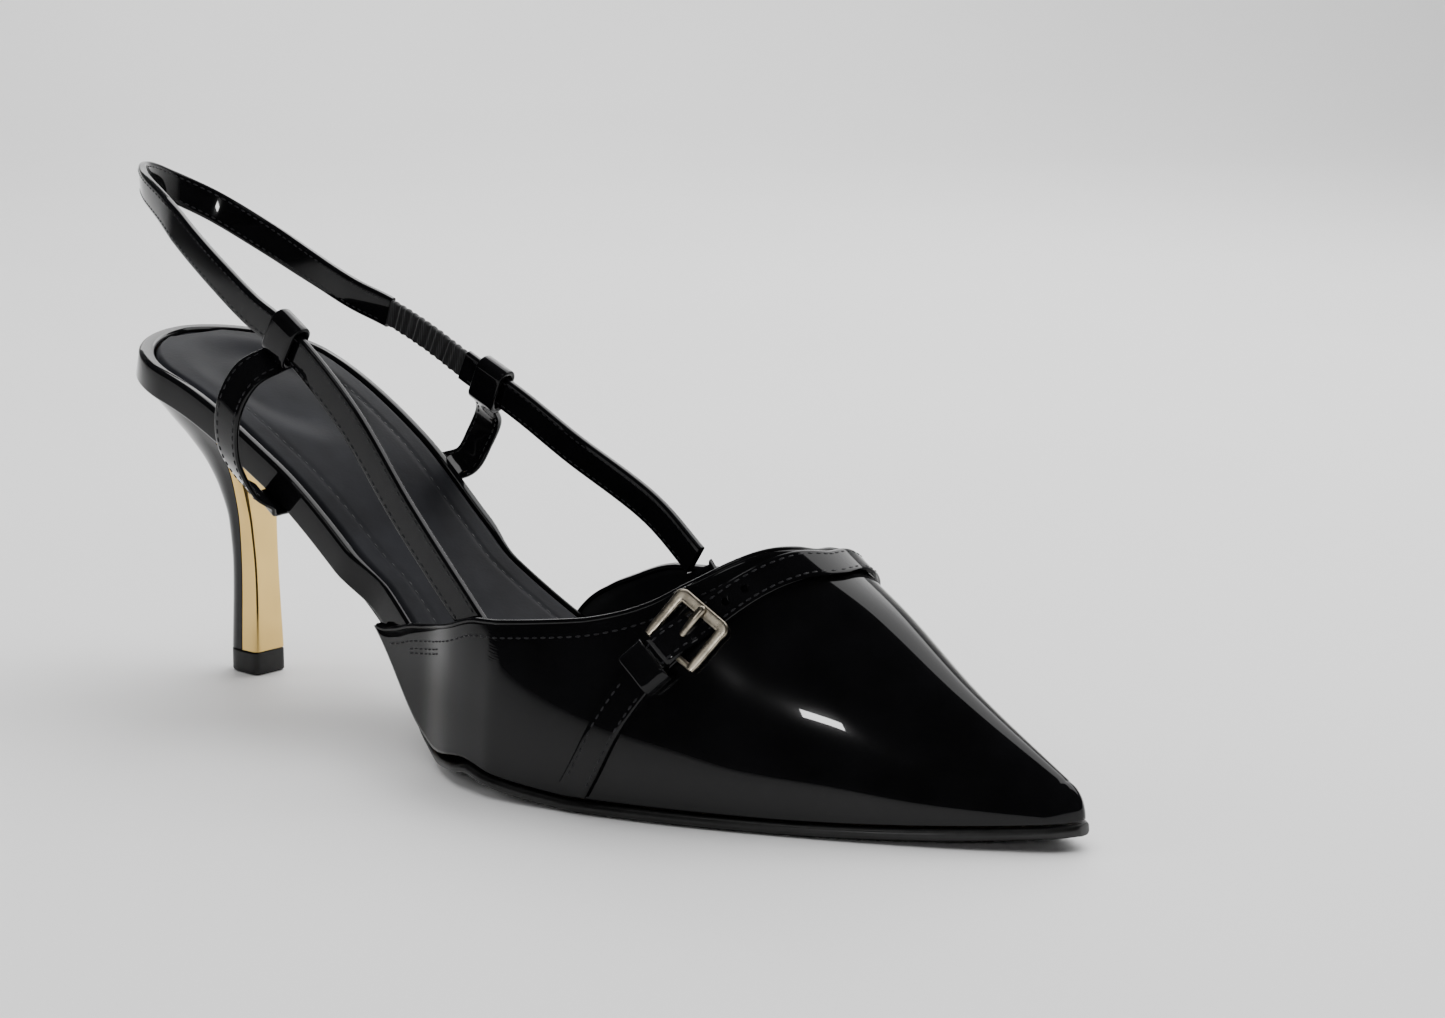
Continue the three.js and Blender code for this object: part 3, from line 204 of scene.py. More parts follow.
def reaches(x):
    """The middle of the sole and half its width."""
    lateral_run = clamp((x - BALL_LATERAL_X) / (LENGTH - BALL_LATERAL_X))
    medial_run = clamp((x - BALL_MEDIAL_X) / (LENGTH - BALL_MEDIAL_X))
    lateral = mix(lateral_rear(x), TOE_HALF_WIDTH - TOE_SWING, lateral_run**1.5)
    medial = mix(medial_rear(x), TOE_HALF_WIDTH + TOE_SWING, medial_run**1.25)
    return (medial - lateral) / 2, (medial + lateral) / 2 * end_arc(x)


def drawn_in(half, inset):
    return half**2 / (half + inset + 1e-6)


SPRING_X = 0.78 * LENGTH


def footbed_top(x):
    return edge_height(x) + TOE_SPRING * clamp((x - SPRING_X) / (LENGTH - SPRING_X)) ** 2


def footbed_pitch(x):
    return math.atan2(footbed_top(x - 0.5) - footbed_top(x + 0.5), 1)


def bed_point(share, side, inset, depth):
    middle, half = reaches(share * LENGTH)
    x = inset + share * (LENGTH - 2 * inset)
    pitch = footbed_pitch(x)
    y = middle + side * drawn_in(half, inset)
    return vec(x - depth * math.sin(pitch), y, footbed_top(x) - depth * math.cos(pitch))


def bed_underside(x, depth):
    top_x = x
    for _ in range(5):
        top_x = x + depth * math.sin(footbed_pitch(top_x))
    return footbed_top(top_x) - depth * math.cos(footbed_pitch(top_x))


def tuck_under(x):
    rise = smooth(x, QUARTER_LATERAL - 2, QUARTER_LATERAL + 20)
    return QUARTER_TUCK * rise * (1 - smooth(x, QUARTER_LATERAL + 22, BALL_LATERAL_X - 6))


LATERAL_FRONT = [(0.56, 30.3), (0.67, 21.5), (0.77, 16.8), (0.9, 12), (1.12, 6.6), (1.4, 2)]
MEDIAL_FRONT = [(0.56, 27), (0.67, 18), (0.77, 12.5), (0.9, 7), (1.12, 2), (1.4, -0.2)]


def topline_curve(quarter_x, rise, front_edge):
    front = [(angle, THROAT_X - behind) for angle, behind in front_edge]
    quarter = [(0, 0), (QUARTER_ANGLE, 0.09), (0.12, 0.24), (0.22, 0.45), (0.296, 0.73), (0.335, 1)]
    return curve_through(
        [(angle, quarter_x + share * rise) for angle, share in quarter]
        + front
        + [(MIDDLE_ANGLE, THROAT_X), (math.pi - front[-1][0], front[-1][1])]
    )


lateral_topline = topline_curve(QUARTER_LATERAL, 33, LATERAL_FRONT)
medial_topline = topline_curve(QUARTER_MEDIAL, 23, MEDIAL_FRONT)


def topline(angle):
    return lateral_topline(angle) if angle < MIDDLE_ANGLE else medial_topline(math.pi - angle)


def close_sides(w):
    """Crowds evenly spaced shares towards both sides of the foot."""
    return w - 0.76 * math.sin(2 * math.pi * w) / (2 * math.pi)


def upper_point(x, angle, inset=0.0):
    """A point of the upper, at x along it and an angle over it: 0 is the lateral edge, pi the medial."""
    middle, half = reaches(x)
    tip = math.sqrt(1 - clamp((x - LENGTH + TOE_ARC) / TOE_ARC) ** 2)
    foot = bed_underside(x, BED_DEPTH + tuck_under(x)) + EDGE_RAISE
    height = (ridge_height(x) - foot) * tip
    instep = max(math.sin(angle), 0) ** 8 * (1 - smooth(x, THROAT_X, THROAT_X + 30))
    power = 2 / mix(RIDGE_ROUNDNESS, THROAT_ROUNDNESS, instep)
    across = math.copysign(abs(math.cos(angle)) ** power, math.cos(angle))
    up = max(math.sin(angle), 0) ** power
    rear = topline(clamp(angle, 0, math.pi))
    shrink = (LENGTH - rear - inset) / (LENGTH - rear)
    y = middle - drawn_in(half, inset) * across
    return vec(rear + (x - rear) * shrink, y, foot + drawn_in(height, inset) * up)


EDGE_STEPS = 900
edge_angles = [math.pi * close_sides(k / EDGE_STEPS) for k in range(EDGE_STEPS + 1)]
edge_lengths = [0.0]
for low_angle, high_angle in zip(edge_angles, edge_angles[1:]):
    edge_start = upper_point(topline(low_angle), low_angle)
    edge_lengths.append(edge_lengths[-1] + (upper_point(topline(high_angle), high_angle) - edge_start).length)


def even_angle(share):
    """An angle over the foot, evenly spaced along the top edge."""
    target = clamp(share) * edge_lengths[-1]
    i = max(bisect_left(edge_lengths, target), 1)
    part = (target - edge_lengths[i - 1]) / (edge_lengths[i] - edge_lengths[i - 1])
    return mix(edge_angles[i - 1], edge_angles[i], part)


def surface_at(x, angle):
    """A place on the upper, its slopes along the shoe and over the foot, and its outward normal."""
    step = 0.03
    along = (upper_point(x + step, angle) - upper_point(x - step, angle)) / (2 * step)
    over = (upper_point(x, angle + step) - upper_point(x, angle - step)) / (2 * step)
    out = along.cross(over).normalized()
    if out.z < -0.2:
        out.negate()
    return upper_point(x, angle), along, over, out


def sideways(route, share, distance):
    """Moves a place on a route over the upper sideways, by a distance on the surface."""
    x, angle = route(share)
    at, along, over, out = surface_at(x, angle)
    forward = (upper_point(*route(share + 0.01)) - at).normalized()
    across = forward.cross(out).normalized()
    a, b, c = along.dot(along), along.dot(over), over.dot(over)
    p, q = across.dot(along) * distance, across.dot(over) * distance
    scale = 1 / (a * c - b * b)
    return x + (p * c - q * b) * scale, angle + (q * a - p * b) * scale


# ---- The strap over the vamp and its buckle -------------------------------------------------

BUCKLE_ANGLE = 0.66
BUCKLE_LENGTH = 12.6
BUCKLE_WIDTH = 13.4
BUCKLE_BAR = 2.1
BUCKLE_THICKNESS = 1.5
BUCKLE_TWIST = 0.18
PIN_RADIUS = 0.7
PRONG_RADIUS = 0.75
KEEPER_WIDTH = 6.0

ROUTE_END = 0.03
STRAP_END_GAP = 0.5

lateral_route = [
    (ROUTE_END, 31.5), (0.13, 28.8), (0.26, 25.6), (0.47, 19.2),
    (BUCKLE_ANGLE, 12.9), (0.79, 9.3), (1.06, 3.4), (1.28, -0.3),
]
medial_route = [
    (1.28, -3.2), (1.06, -1), (0.79, 5.5), (0.66, 9.5),
    (0.47, 16.5), (0.26, 23.5), (0.13, 27), (ROUTE_END, 30),
]
near_side = [(angle, THROAT_X - behind) for angle, behind in lateral_route]
far_side = [(math.pi - angle, THROAT_X - behind) for angle, behind in medial_route]
route_x = curve_through(near_side + [(MIDDLE_ANGLE, THROAT_X + 3.8)] + far_side)
ROUTE_STEPS = 400


def strap_route(share):
    angle = mix(ROUTE_END, math.pi - ROUTE_END, share)
    return route_x(angle), angle


route_lengths = [0.0]
for step in range(1, ROUTE_STEPS + 1):
    ends = [upper_point(*strap_route(k / ROUTE_STEPS)) for k in (step - 1, step)]
    route_lengths.append(route_lengths[-1] + (ends[1] - ends[0]).length)
buckle_share = (BUCKLE_ANGLE - ROUTE_END) / (math.pi - 2 * ROUTE_END)
buckle_start = route_lengths[round(buckle_share * ROUTE_STEPS)]


def share_at(distance):
    target = clamp(distance + buckle_start, 0, route_lengths[-1])
    i = max(next(k for k, length in enumerate(route_lengths) if length >= target), 1)
    part = (target - route_lengths[i - 1]) / (route_lengths[i] - route_lengths[i - 1])
    return (i - 1 + part) / ROUTE_STEPS


STRAP_START = STRAP_END_GAP - buckle_start
STRAP_END = route_lengths[-1] - buckle_start - STRAP_END_GAP


def on_strap(distance, across, lift):
    """A point over the vamp strap's path: along it from the buckle, across it, and out of the upper."""
    at, _, _, out = surface_at(*sideways(strap_route, share_at(distance), across))
    return at + out * lift


buckle_origin, _, _, buckle_out = surface_at(*strap_route(buckle_share))
strap_along = upper_point(*strap_route(buckle_share + 0.02)) - buckle_origin
strap_along = (strap_along - buckle_out * strap_along.dot(buckle_out)).normalized()
buckle_along = Matrix.Rotation(BUCKLE_TWIST, 3, buckle_out) @ strap_along
buckle_across = buckle_along.cross(buckle_out).normalized()


def on_buckle(across, along, out):
    return buckle_origin + buckle_across * across + buckle_along * along + buckle_out * out


PIN_ALONG = -(BUCKLE_LENGTH - BUCKLE_BAR) / 2
LOOP_RADIUS = PIN_RADIUS + GAP + STRAP_THICKNESS
PIN_OUT = GAP + LOOP_RADIUS
FRAME_OUT = PIN_OUT + 0.2
TAIL = PIN_ALONG - 9
billet_lift = curve_through([
    (TAIL, GAP + STRAP_THICKNESS + GAP + 0.3),
    (PIN_ALONG - 4.5, GAP + STRAP_THICKNESS + GAP + 1),
    (PIN_ALONG - 0.5, PIN_OUT + LOOP_RADIUS + GAP + 0.2),
    (PIN_ALONG + 1.5, PIN_OUT + LOOP_RADIUS + 0.2),
    (PIN_ALONG + 8.5, GAP + 0.1),
    (-PIN_ALONG, GAP),
])

# ---- The sling's path -----------------------------------------------------------------------

SPAN_STEPS = 40
TAB_CLEARANCE = 1.9


class Path:
    """A centripetal spline through points, measured by its length."""

    def __init__(self, points):
        points = [Vector(p) for p in points]
        ghosts = [2 * points[0] - points[1]] + points + [2 * points[-1] - points[-2]]
        self.places = []
        for i in range(len(points) - 1):
            a, b, c, d = ghosts[i : i + 4]
            ab, bc, cd = [max((q - p).length ** 0.5, 1e-4) for p, q in ((a, b), (b, c), (c, d))]
            start = ((b - a) / ab - (c - a) / (ab + bc) + (c - b) / bc) * bc
            end = ((c - b) / bc - (d - b) / (bc + cd) + (d - c) / cd) * bc
            for k in range(SPAN_STEPS):
                t = k / SPAN_STEPS
                self.places.append(
                    b * (2 * t**3 - 3 * t**2 + 1) + start * (t**3 - 2 * t**2 + t)
                    + c * (3 * t**2 - 2 * t**3) + end * (t**3 - t**2)
                )
        self.places.append(points[-1])
        self.lengths = [0.0]
        for p, q in zip(self.places, self.places[1:]):
            self.lengths.append(self.lengths[-1] + (q - p).length)
        self.length = self.lengths[-1]

    def at(self, share):
        target = clamp(share) * self.length
        low, high = 0, len(self.lengths) - 1
        while high - low > 1:
            half = (low + high) // 2
            low, high = (half, high) if self.lengths[half] <= target else (low, half)
        part = (target - self.lengths[low]) / max(self.lengths[high] - self.lengths[low], 1e-9)
        return self.places[low].lerp(self.places[high], part)

    def along(self, share):
        step = 0.6 / self.length
        return (self.at(share + step) - self.at(share - step)).normalized()

    def share_near(self, place):
        away = [(p - Vector(place)).length for p in self.places]
        return self.lengths[away.index(min(away))] / self.length


def sling_outwards(at):
    return vec(min(at.x - 24, 0), at.y, 0).normalized()


def sling_frame(path, share):
    at, along = path.at(share), path.along(share)
    out = sling_outwards(at)
    out = (out - along * out.dot(along)).normalized()
    return at, along, out, along.cross(out)


TAB_DEPTH = UPPER_THICKNESS + LINING_THICKNESS + 3 * GAP + SLING_THICKNESS / 2 + TAB_CLEARANCE


def inside_upper(x, angle):
    at, _, _, out = surface_at(x, angle)
    return at - out * TAB_DEPTH


LATERAL_ROOT = inside_upper(QUARTER_LATERAL + 33.5, 0.325)
LATERAL_TAB = inside_upper(QUARTER_LATERAL + 42, 0.2)
MEDIAL_ROOT = inside_upper(QUARTER_MEDIAL + 40, math.pi - 0.475)
MEDIAL_TAB = inside_upper(QUARTER_MEDIAL + 48, math.pi - 0.34)
LATERAL_JOIN = vec(69.5, -28, 87.8)
ELASTIC_JOIN = vec(45.6, 26, 85.5)
MEDIAL_JOIN = vec(68.8, 27.3, 75.6)
MEDIAL_RING = vec(77, 28, 72.2)
loop_path = Path([
    LATERAL_ROOT, (105.3, -27.1, 53.6), (88.4, -27.7, 73), LATERAL_JOIN,
    (57, -27, 93), (45, -25.5, 98.9), (31, -22, 104.9), (15.6, -17, 111.2), (2, -11, 114.8),
    (-8.5, -2, 115.5), (-12, 8, 112.4), (-6.5, 16.5, 107.4), (5.9, 22.5, 100.2), (18.7, 25, 94.2),
    (33.2, 25.5, 88.9), ELASTIC_JOIN, (57.5, 26.6, 81), MEDIAL_JOIN,
    (85.6, 28.4, 68), (100.9, 29, 60.3), (125.2, 29.6, 49.2), MEDIAL_ROOT,
])
lateral_join = loop_path.share_near(LATERAL_JOIN)
elastic_join = loop_path.share_near(ELASTIC_JOIN)
medial_join = loop_path.share_near(MEDIAL_JOIN)
HALF_GAP = GAP / 2 / loop_path.length

# ---- The heel's section -----------------------------------------------------------------------

heel_back_x = curve_through([
    (HEEL_FOOT, 19), (25, 19.5), (36, 18.6), (44, 15.6), (50, 11.9),
    (56, 7.2), (62, 2.6), (68, -0.4), (73, -1.2),
])
heel_round = curve_through([
    (HEEL_FOOT, 5), (25, 4.7), (36, 5.2), (44, 8), (50, 11), (56, 14.5), (62, 18.5), (73, 24.5),
])
heel_half_width = curve_through([
    (HEEL_FOOT, 4.8), (25, 4.3), (36, 4.7), (44, 6), (50, 7.7),
    (56, 10.8), (62, 15.4), (68, 20.4), (73, 23.5),
])
heel_breast = curve_through([
    (HEEL_FOOT, 30.5), (25, 29.7), (40, 28.7), (48, 28.4), (53, 30.2), (57, 34.5), (60, 41), (64, 50),
])


def heel_point(turn, z):
    """A point of the heel's side: round at the back, and flat with firm corners in front."""
    back, rounding = heel_back_x(z), heel_round(z)
    centre = back + rounding
    front = max(heel_breast(z) - centre, 1)
    c, s = [0.0 if abs(part) < 1e-5 else part for part in (math.cos(turn), math.sin(turn))]
    power = 0.25 if c > 0 else 1
    reach = front * c**power if c > 0 else rounding * c
    return vec(centre + reach, math.copysign(abs(s) ** power, s) * heel_half_width(z), z)


# ---- Mesh tools -----------------------------------------------------------------------------

WELD_DISTANCE = 2e-6
RIM_SEGMENTS = 3
RIM_ANGLE = 50
STITCH_FLATNESS = 0.75


def shaped_grid(steps, around, place):
    """A grid whose vertices are moved to place(u, w), with those that meet welded."""
    bm = bmesh.new()
    bmesh.ops.create_grid(bm, x_segments=steps, y_segments=around, size=0.5)
    for vertex in bm.verts:
        vertex.co = placed(place(vertex.co.x + 0.5, vertex.co.y + 0.5))
    bmesh.ops.remove_doubles(bm, verts=bm.verts, dist=WELD_DISTANCE)
    return bm


def fill_holes(bm):
    bmesh.ops.holes_fill(bm, edges=[e for e in bm.edges if e.is_boundary], sides=0)
    bmesh.ops.recalc_face_normals(bm, faces=bm.faces)


def swept(steps, around, place, capped=True):
    """A tube from place(u, w), where w runs once round it, with its seam welded and its ends filled."""
    bm = shaped_grid(steps, around, place)
    if capped:
        fill_holes(bm)
    else:
        bmesh.ops.recalc_face_normals(bm, faces=bm.faces)
    return bm


def sheeted(steps, around, place, outwards):
    """An open surface from place(u, w), turned so that its faces look towards outwards(point)."""
    bm = shaped_grid(steps, around, place)
    bmesh.ops.recalc_face_normals(bm, faces=bm.faces)
    bm.normal_update()
    agreement = sum(f.normal.dot(outwards(f.calc_center_median())) * f.calc_area() for f in bm.faces)
    if agreement < 0:
        bmesh.ops.reverse_faces(bm, faces=bm.faces)
    return bm


def rounded_outline(width, height, radius, per_corner=5, between=4):
    """Points round a rectangle with rounded corners, with more of them along its width."""
    x, y = width / 2 - radius, height / 2 - radius
    outline = []
    for cx, cy, start in ((x, y, 0), (-x, y, 1), (-x, -y, 2), (x, -y, 3)):
        for k in range(per_corner + 1):
            turn = (start + k / per_corner) * math.pi / 2
            outline.append((cx + radius * math.cos(turn), cy + radius * math.sin(turn)))
        if start in (0, 2):
            corner, nearest = outline[-1], (-cx, cy)
            for k in range(1, between + 1):
                outline.append((mix(corner[0], nearest[0], k / (between + 1)), corner[1]))
    return outline


def band_along(steps, outline, place):
    """A strap whose outline of (across, out) points is carried along place(u, across, out)."""
    count = len(outline)

    def at(u, w):
        across, out = outline[round(w * count) % count]
        return place(u, across, out)

    return swept(steps, count, at)


def joined(parts):
    """One mesh from several."""
    whole = bmesh.new()
    for part in parts:
        mesh = bpy.data.meshes.new("part")
        part.to_mesh(mesh)
        part.free()
        whole.from_mesh(mesh)
        bpy.data.meshes.remove(mesh)
    return whole


def piece(name, bm, material, body, stands_for=(), sharp=40, thickness=0.0, rim=0.0):
    """Makes a finished piece of the shoe from a mesh, with its place in that mesh."""
    mesh = bpy.data.meshes.new(name)
    bm.to_mesh(mesh)
    bm.free()
    mesh.shade_smooth()
    mesh.set_sharp_from_angle(angle=math.radians(sharp))
    obj = bpy.data.objects.new(name, mesh)
    bpy.context.scene.collection.objects.link(obj)
    mesh.materials.append(material)
    if thickness:
        shell = obj.modifiers.new("thickness", "SOLIDIFY")
        shell.thickness = thickness / 1000
        shell.offset = -1
    if rim:
        edge = obj.modifiers.new("rim", "BEVEL")
        edge.width = rim / 1000
        edge.segments = RIM_SEGMENTS
        edge.limit_method = "ANGLE"
        edge.angle_limit = math.radians(RIM_ANGLE)
    if stands_for:
        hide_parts(*stands_for)
    if body:
        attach(obj, body)
    return obj


def settings():
    return bpy.context.scene.pump_settings


def stitch_row(places, longer=1.0, thinner=1.0):
    """A row of stitches, from (place, along, out) triples, each a small drawn-out bead."""
    bm = bmesh.new()
    length = settings().stitch_length * longer
    radius = settings().thread_radius * thinner
    for at, along, out in places:
        across = along.cross(out).normalized()
        turn = Matrix((along, across, out)).transposed().to_4x4()
        size = Matrix.Diagonal((length / 2000, radius / 1000, STITCH_FLATNESS * radius / 1000, 1))
        matrix = Matrix.Translation(placed(at)) @ turn @ size
        bmesh.ops.create_uvsphere(bm, u_segments=6, v_segments=4, radius=1, matrix=matrix)
    return bm


# ---- Materials ------------------------------------------------------------------------------


def new_material(name, roughness, metallic=0.0, coat=0.0, coat_roughness=0.03, specular=0.5):
    """A material whose nodes start from Object coordinates, with its shader's plain values set."""
    material = bpy.data.materials.new(name)
    material.use_nodes = True
    tree = material.node_tree
    shader = tree.nodes["Principled BSDF"]
    shader.inputs["Roughness"].default_value = roughness
    shader.inputs["Metallic"].default_value = metallic
    shader.inputs["Coat Weight"].default_value = coat
    shader.inputs["Coat IOR"].default_value = 1.4
    shader.inputs["Coat Roughness"].default_value = coat_roughness
    shader.inputs["Specular IOR Level"].default_value = specular
    coordinates = tree.nodes.new("ShaderNodeTexCoord")
    return material, tree, shader, coordinates.outputs["Object"]


def noise(tree, vector, scale, detail=3.0, roughness=0.5):
    node = tree.nodes.new("ShaderNodeTexNoise")
    node.inputs["Scale"].default_value = scale
    node.inputs["Detail"].default_value = detail
    node.inputs["Roughness"].default_value = roughness
    tree.links.new(vector, node.inputs["Vector"])
    return node.outputs["Fac"]


def tint(tree, shader, value, colour, share):
    """Lets the base colour wander between a darker and a lighter version of a colour."""
    node = tree.nodes.new("ShaderNodeValToRGB")
    dark, light = node.color_ramp.elements
    dark.position, light.position = 0.35, 0.65
    dark.color = (*[c * (1 - share) for c in colour], 1)
    light.color = (*[c * (1 + share) for c in colour], 1)
    tree.links.new(value, node.inputs["Fac"])
    tree.links.new(node.outputs["Color"], shader.inputs["Base Color"])


def vary_roughness(tree, shader, value, low, high):
    node = tree.nodes.new("ShaderNodeMapRange")
    node.inputs["To Min"].default_value = low
    node.inputs["To Max"].default_value = high
    tree.links.new(value, node.inputs["Value"])
    tree.links.new(node.outputs["Result"], shader.inputs["Roughness"])


def bump(tree, shader, height, strength, distance, under=None):
    node = tree.nodes.new("ShaderNodeBump")
    node.inputs["Strength"].default_value = strength
    node.inputs["Distance"].default_value = distance
    tree.links.new(height, node.inputs["Height"])
    if under:
        tree.links.new(under, node.inputs["Normal"])
    tree.links.new(node.outputs["Normal"], shader.inputs["Normal"])
    return node.outputs["Normal"]


def lacquered_leather(name="lacquered_leather", waves=0.00012):
    """A clear coat over black, with the slow waves of the hide beneath."""
    material, tree, shader, vector = new_material(
        name, settings().patent_roughness, coat=0.6, coat_roughness=0.015, specular=0.04
    )
    tint(tree, shader, noise(tree, vector, 90), settings().patent_colour, 0.25)
    slow = bump(tree, shader, noise(tree, vector, 55, 1.0, 0.4), 0.5, waves)
    bump(tree, shader, noise(tree, vector, 900, 2.0), 0.05, 0.00003, slow)
    return material


def heel_lacquer():
    """Smooth black lacquer on the moulded heel."""
    material, tree, shader, vector = new_material(
        "heel_lacquer", 0.09, coat=0.6, coat_roughness=0.01, specular=0.04
    )
    tint(tree, shader, noise(tree, vector, 120), settings().patent_colour, 0.2)
    bump(tree, shader, noise(tree, vector, 140, 1.0), 0.15, 0.00003)
    return material


def gold_plating():
    """Polished plating with a slight, uneven haze."""
    material, tree, shader, vector = new_material("gold_plating", 0.09, metallic=1.0)
    tint(tree, shader, noise(tree, vector, 70, 2.0), settings().gold_colour, 0.05)
    vary_roughness(tree, shader, noise(tree, vector, 260, 4.0), 0.05, 0.12)
    bump(tree, shader, noise(tree, vector, 180, 1.5), 0.12, 0.00004)
    return material


def aged_metal():
    """Satin metal, darkened unevenly by age."""
    material, tree, shader, vector = new_material("aged_metal", 0.28, metallic=1.0)
    tint(tree, shader, noise(tree, vector, 420, 4.0), settings().buckle_colour, 0.35)
    vary_roughness(tree, shader, noise(tree, vector, 700, 3.0), 0.2, 0.38)
    bump(tree, shader, noise(tree, vector, 1500, 2.0), 0.15, 0.00003)
    return material


def grained_leather(name, colour, roughness):
    """Matt leather with a fine pebbled grain."""
    material, tree, shader, vector = new_material(name, roughness, specular=0.03)
    tint(tree, shader, noise(tree, vector, 60, 4.0), colour, 0.3)
    cells = tree.nodes.new("ShaderNodeTexVoronoi")
    cells.inputs["Scale"].default_value = 1400
    tree.links.new(vector, cells.inputs["Vector"])
    pebbles = bump(tree, shader, cells.outputs["Distance"], 0.22, 0.00006)
    bump(tree, shader, noise(tree, vector, 45, 2.0), 0.25, 0.0003, pebbles)
    return material


def plain_rubber(name, roughness):
    """Black rubber with a fine pitted skin."""
    material, tree, shader, vector = new_material(name, roughness, specular=0.4)
    tint(tree, shader, noise(tree, vector, 300, 5.0), settings().rubber_colour, 0.35)
    bump(tree, shader, noise(tree, vector, 1800, 3.0), 0.2, 0.00005)
    return material


def ribbed_elastic():
    """Woven elastic: fine ribs across a coarser weave."""
    material, tree, shader, vector = new_material("ribbed_elastic", 0.62, specular=0.35)
    shader.inputs["Sheen Weight"].default_value = 0.25
    tint(tree, shader, noise(tree, vector, 500, 3.0), settings().elastic_colour, 0.4)
    weave = tree.nodes.new("ShaderNodeTexWave")
    weave.bands_direction = "X"
    weave.inputs["Scale"].default_value = 420
    weave.inputs["Distortion"].default_value = 1.5
    tree.links.new(vector, weave.inputs["Vector"])
    ribs = bump(tree, shader, weave.outputs["Fac"], 0.4, 0.00012)
    bump(tree, shader, noise(tree, vector, 2600, 2.0), 0.2, 0.00005, ribs)
    return material


def sewing_thread():
    """Twisted thread."""
    material, tree, shader, vector = new_material("sewing_thread", 0.5, specular=0.3)
    tint(tree, shader, noise(tree, vector, 900, 2.0), settings().thread_colour, 0.4)
    twist = tree.nodes.new("ShaderNodeTexWave")
    twist.bands_direction = "DIAGONAL"
    twist.inputs["Scale"].default_value = 1500
    tree.links.new(vector, twist.inputs["Vector"])
    bump(tree, shader, twist.outputs["Fac"], 0.3, 0.00005)
    return material


def speckled(name, colour, roughness, scale, metallic=0.0):
    """A plain hidden material with a fine speckle."""
    material, tree, shader, vector = new_material(name, roughness, metallic=metallic)
    tint(tree, shader, noise(tree, vector, scale, 4.0), colour, 0.18)
    bump(tree, shader, noise(tree, vector, 2 * scale, 3.0), 0.3, 0.0001)
    return material


def material_named(name):
    """Makes each material once, when a piece first asks for it."""
    found = bpy.data.materials.get(name)
    if found:
        return found
    makers = {
        "lacquered_leather": lacquered_leather,
        "strap_patent": lambda: lacquered_leather("strap_patent", 0.00005),
        "heel_lacquer": heel_lacquer,
        "gold_plating": gold_plating,
        "aged_metal": aged_metal,
        "sock_hide": lambda: grained_leather("sock_hide", settings().sock_colour, 0.4),
        "lining_hide": lambda: grained_leather("lining_hide", settings().lining_colour, 0.55),
        "tip_rubber": lambda: plain_rubber("tip_rubber", 0.5),
        "sole_rubber": lambda: plain_rubber("sole_rubber", 0.3),
        "ribbed_elastic": ribbed_elastic,
        "sewing_thread": sewing_thread,
        "latex_foam": lambda: speckled("latex_foam", (0.72, 0.66, 0.5), 0.9, 900),
        "pressed_board": lambda: speckled("pressed_board", (0.42, 0.3, 0.2), 0.85, 700),
        "plain_steel": lambda: speckled("plain_steel", (0.6, 0.61, 0.63), 0.35, 300, 1.0),
    }
    return makers[name]()


# ---- Settings -------------------------------------------------------------------------------


def colour_setting(label, words, default):
    return FloatVectorProperty(
        name=label, description=words, default=default, size=3, min=0, max=1, subtype="COLOR"
    )


def number_setting(label, words, default, low, high, unit="NONE"):
    return FloatProperty(name=label, description=words, default=default, min=low, max=high, unit=unit)


class PumpSettings(bpy.types.PropertyGroup):
    """What a user may change on the pump."""

    patent_colour: colour_setting("Patent colour", "Colour under the clear coat", (0.0035, 0.0035, 0.004))
    gold_colour: colour_setting("Plating colour", "Colour of the heel's plated front", (0.76, 0.52, 0.18))
    buckle_colour: colour_setting("Buckle colour", "Colour of the buckle's antique metal", (0.36, 0.32, 0.25))
    sock_colour: colour_setting("Sock colour", "Colour of the leather underfoot", (0.012, 0.0125, 0.015))
    lining_colour: colour_setting("Lining colour", "Colour inside the upper", (0.014, 0.014, 0.015))
    rubber_colour: colour_setting("Rubber colour", "Colour of the sole and top piece", (0.008, 0.008, 0.008))
    elastic_colour: colour_setting("Elastic colour", "Colour of the sling's elastic", (0.008, 0.008, 0.009))
    thread_colour: colour_setting("Thread colour", "Colour of all stitching", (0.014, 0.014, 0.016))
    patent_roughness: number_setting("Patent roughness", "Roughness under the coat", 0.12, 0, 1)
    stitch_length: number_setting("Stitch length", "Length of one stitch, in mm", 1.4, 0.5, 4)
    stitch_pitch: number_setting("Stitch pitch", "From one stitch to the next, in mm", 1.9, 1, 6)
    thread_radius: number_setting("Thread radius", "Half the thread's width, in mm", 0.24, 0.05, 1)
    heel_cup_depth: number_setting("Heel cup", "Depth of the hollow in the seat, in mm", 1.7, 0, 3)
    floor_colour: colour_setting("Floor colour", "Colour of the plain floor", (0.8, 0.8, 0.8))
    key_power: number_setting("Key light", "Power of the overhead light", 16.0, 0, 200, "POWER")


# ---- Pieces ---------------------------------------------------------------------------------


def shell_sheet(around, along, inset):
    """The upper's surface at an inset, from its rear edge to the toe."""

    def place(u, v):
        angle = even_angle(u)
        x = mix(topline(angle), LENGTH, 1 - (1 - v) ** 1.6)
        return upper_point(x, angle, inset(x))

    middle, height = placed(vec(170, 3, 8))[1:]
    return sheeted(around, along, place, lambda point: point - Vector((point.x, middle, height)))


def row_on_upper(route, count, offset, lift):
    """Places for a row of stitches beside a route over the upper."""
    places = []
    for k in range(count):
        share = (k + 0.5) / count
        at, _, _, out = surface_at(*sideways(route, share, offset))
        ahead = surface_at(*sideways(route, share + 0.004, offset))[0]
        places.append((at + out * lift, (ahead - at).normalized(), out))
    return places


EDGE_SEAM = 3.0
TACK_ROWS = (4.7, 5.7)
SEAM_LIFT = 0.05


def edge_route(share):
    """The upper's top edge, from the lateral quarter round to the medial one."""
    angle = clamp(even_angle(share), 0.01, math.pi - 0.01)
    return topline(angle), angle


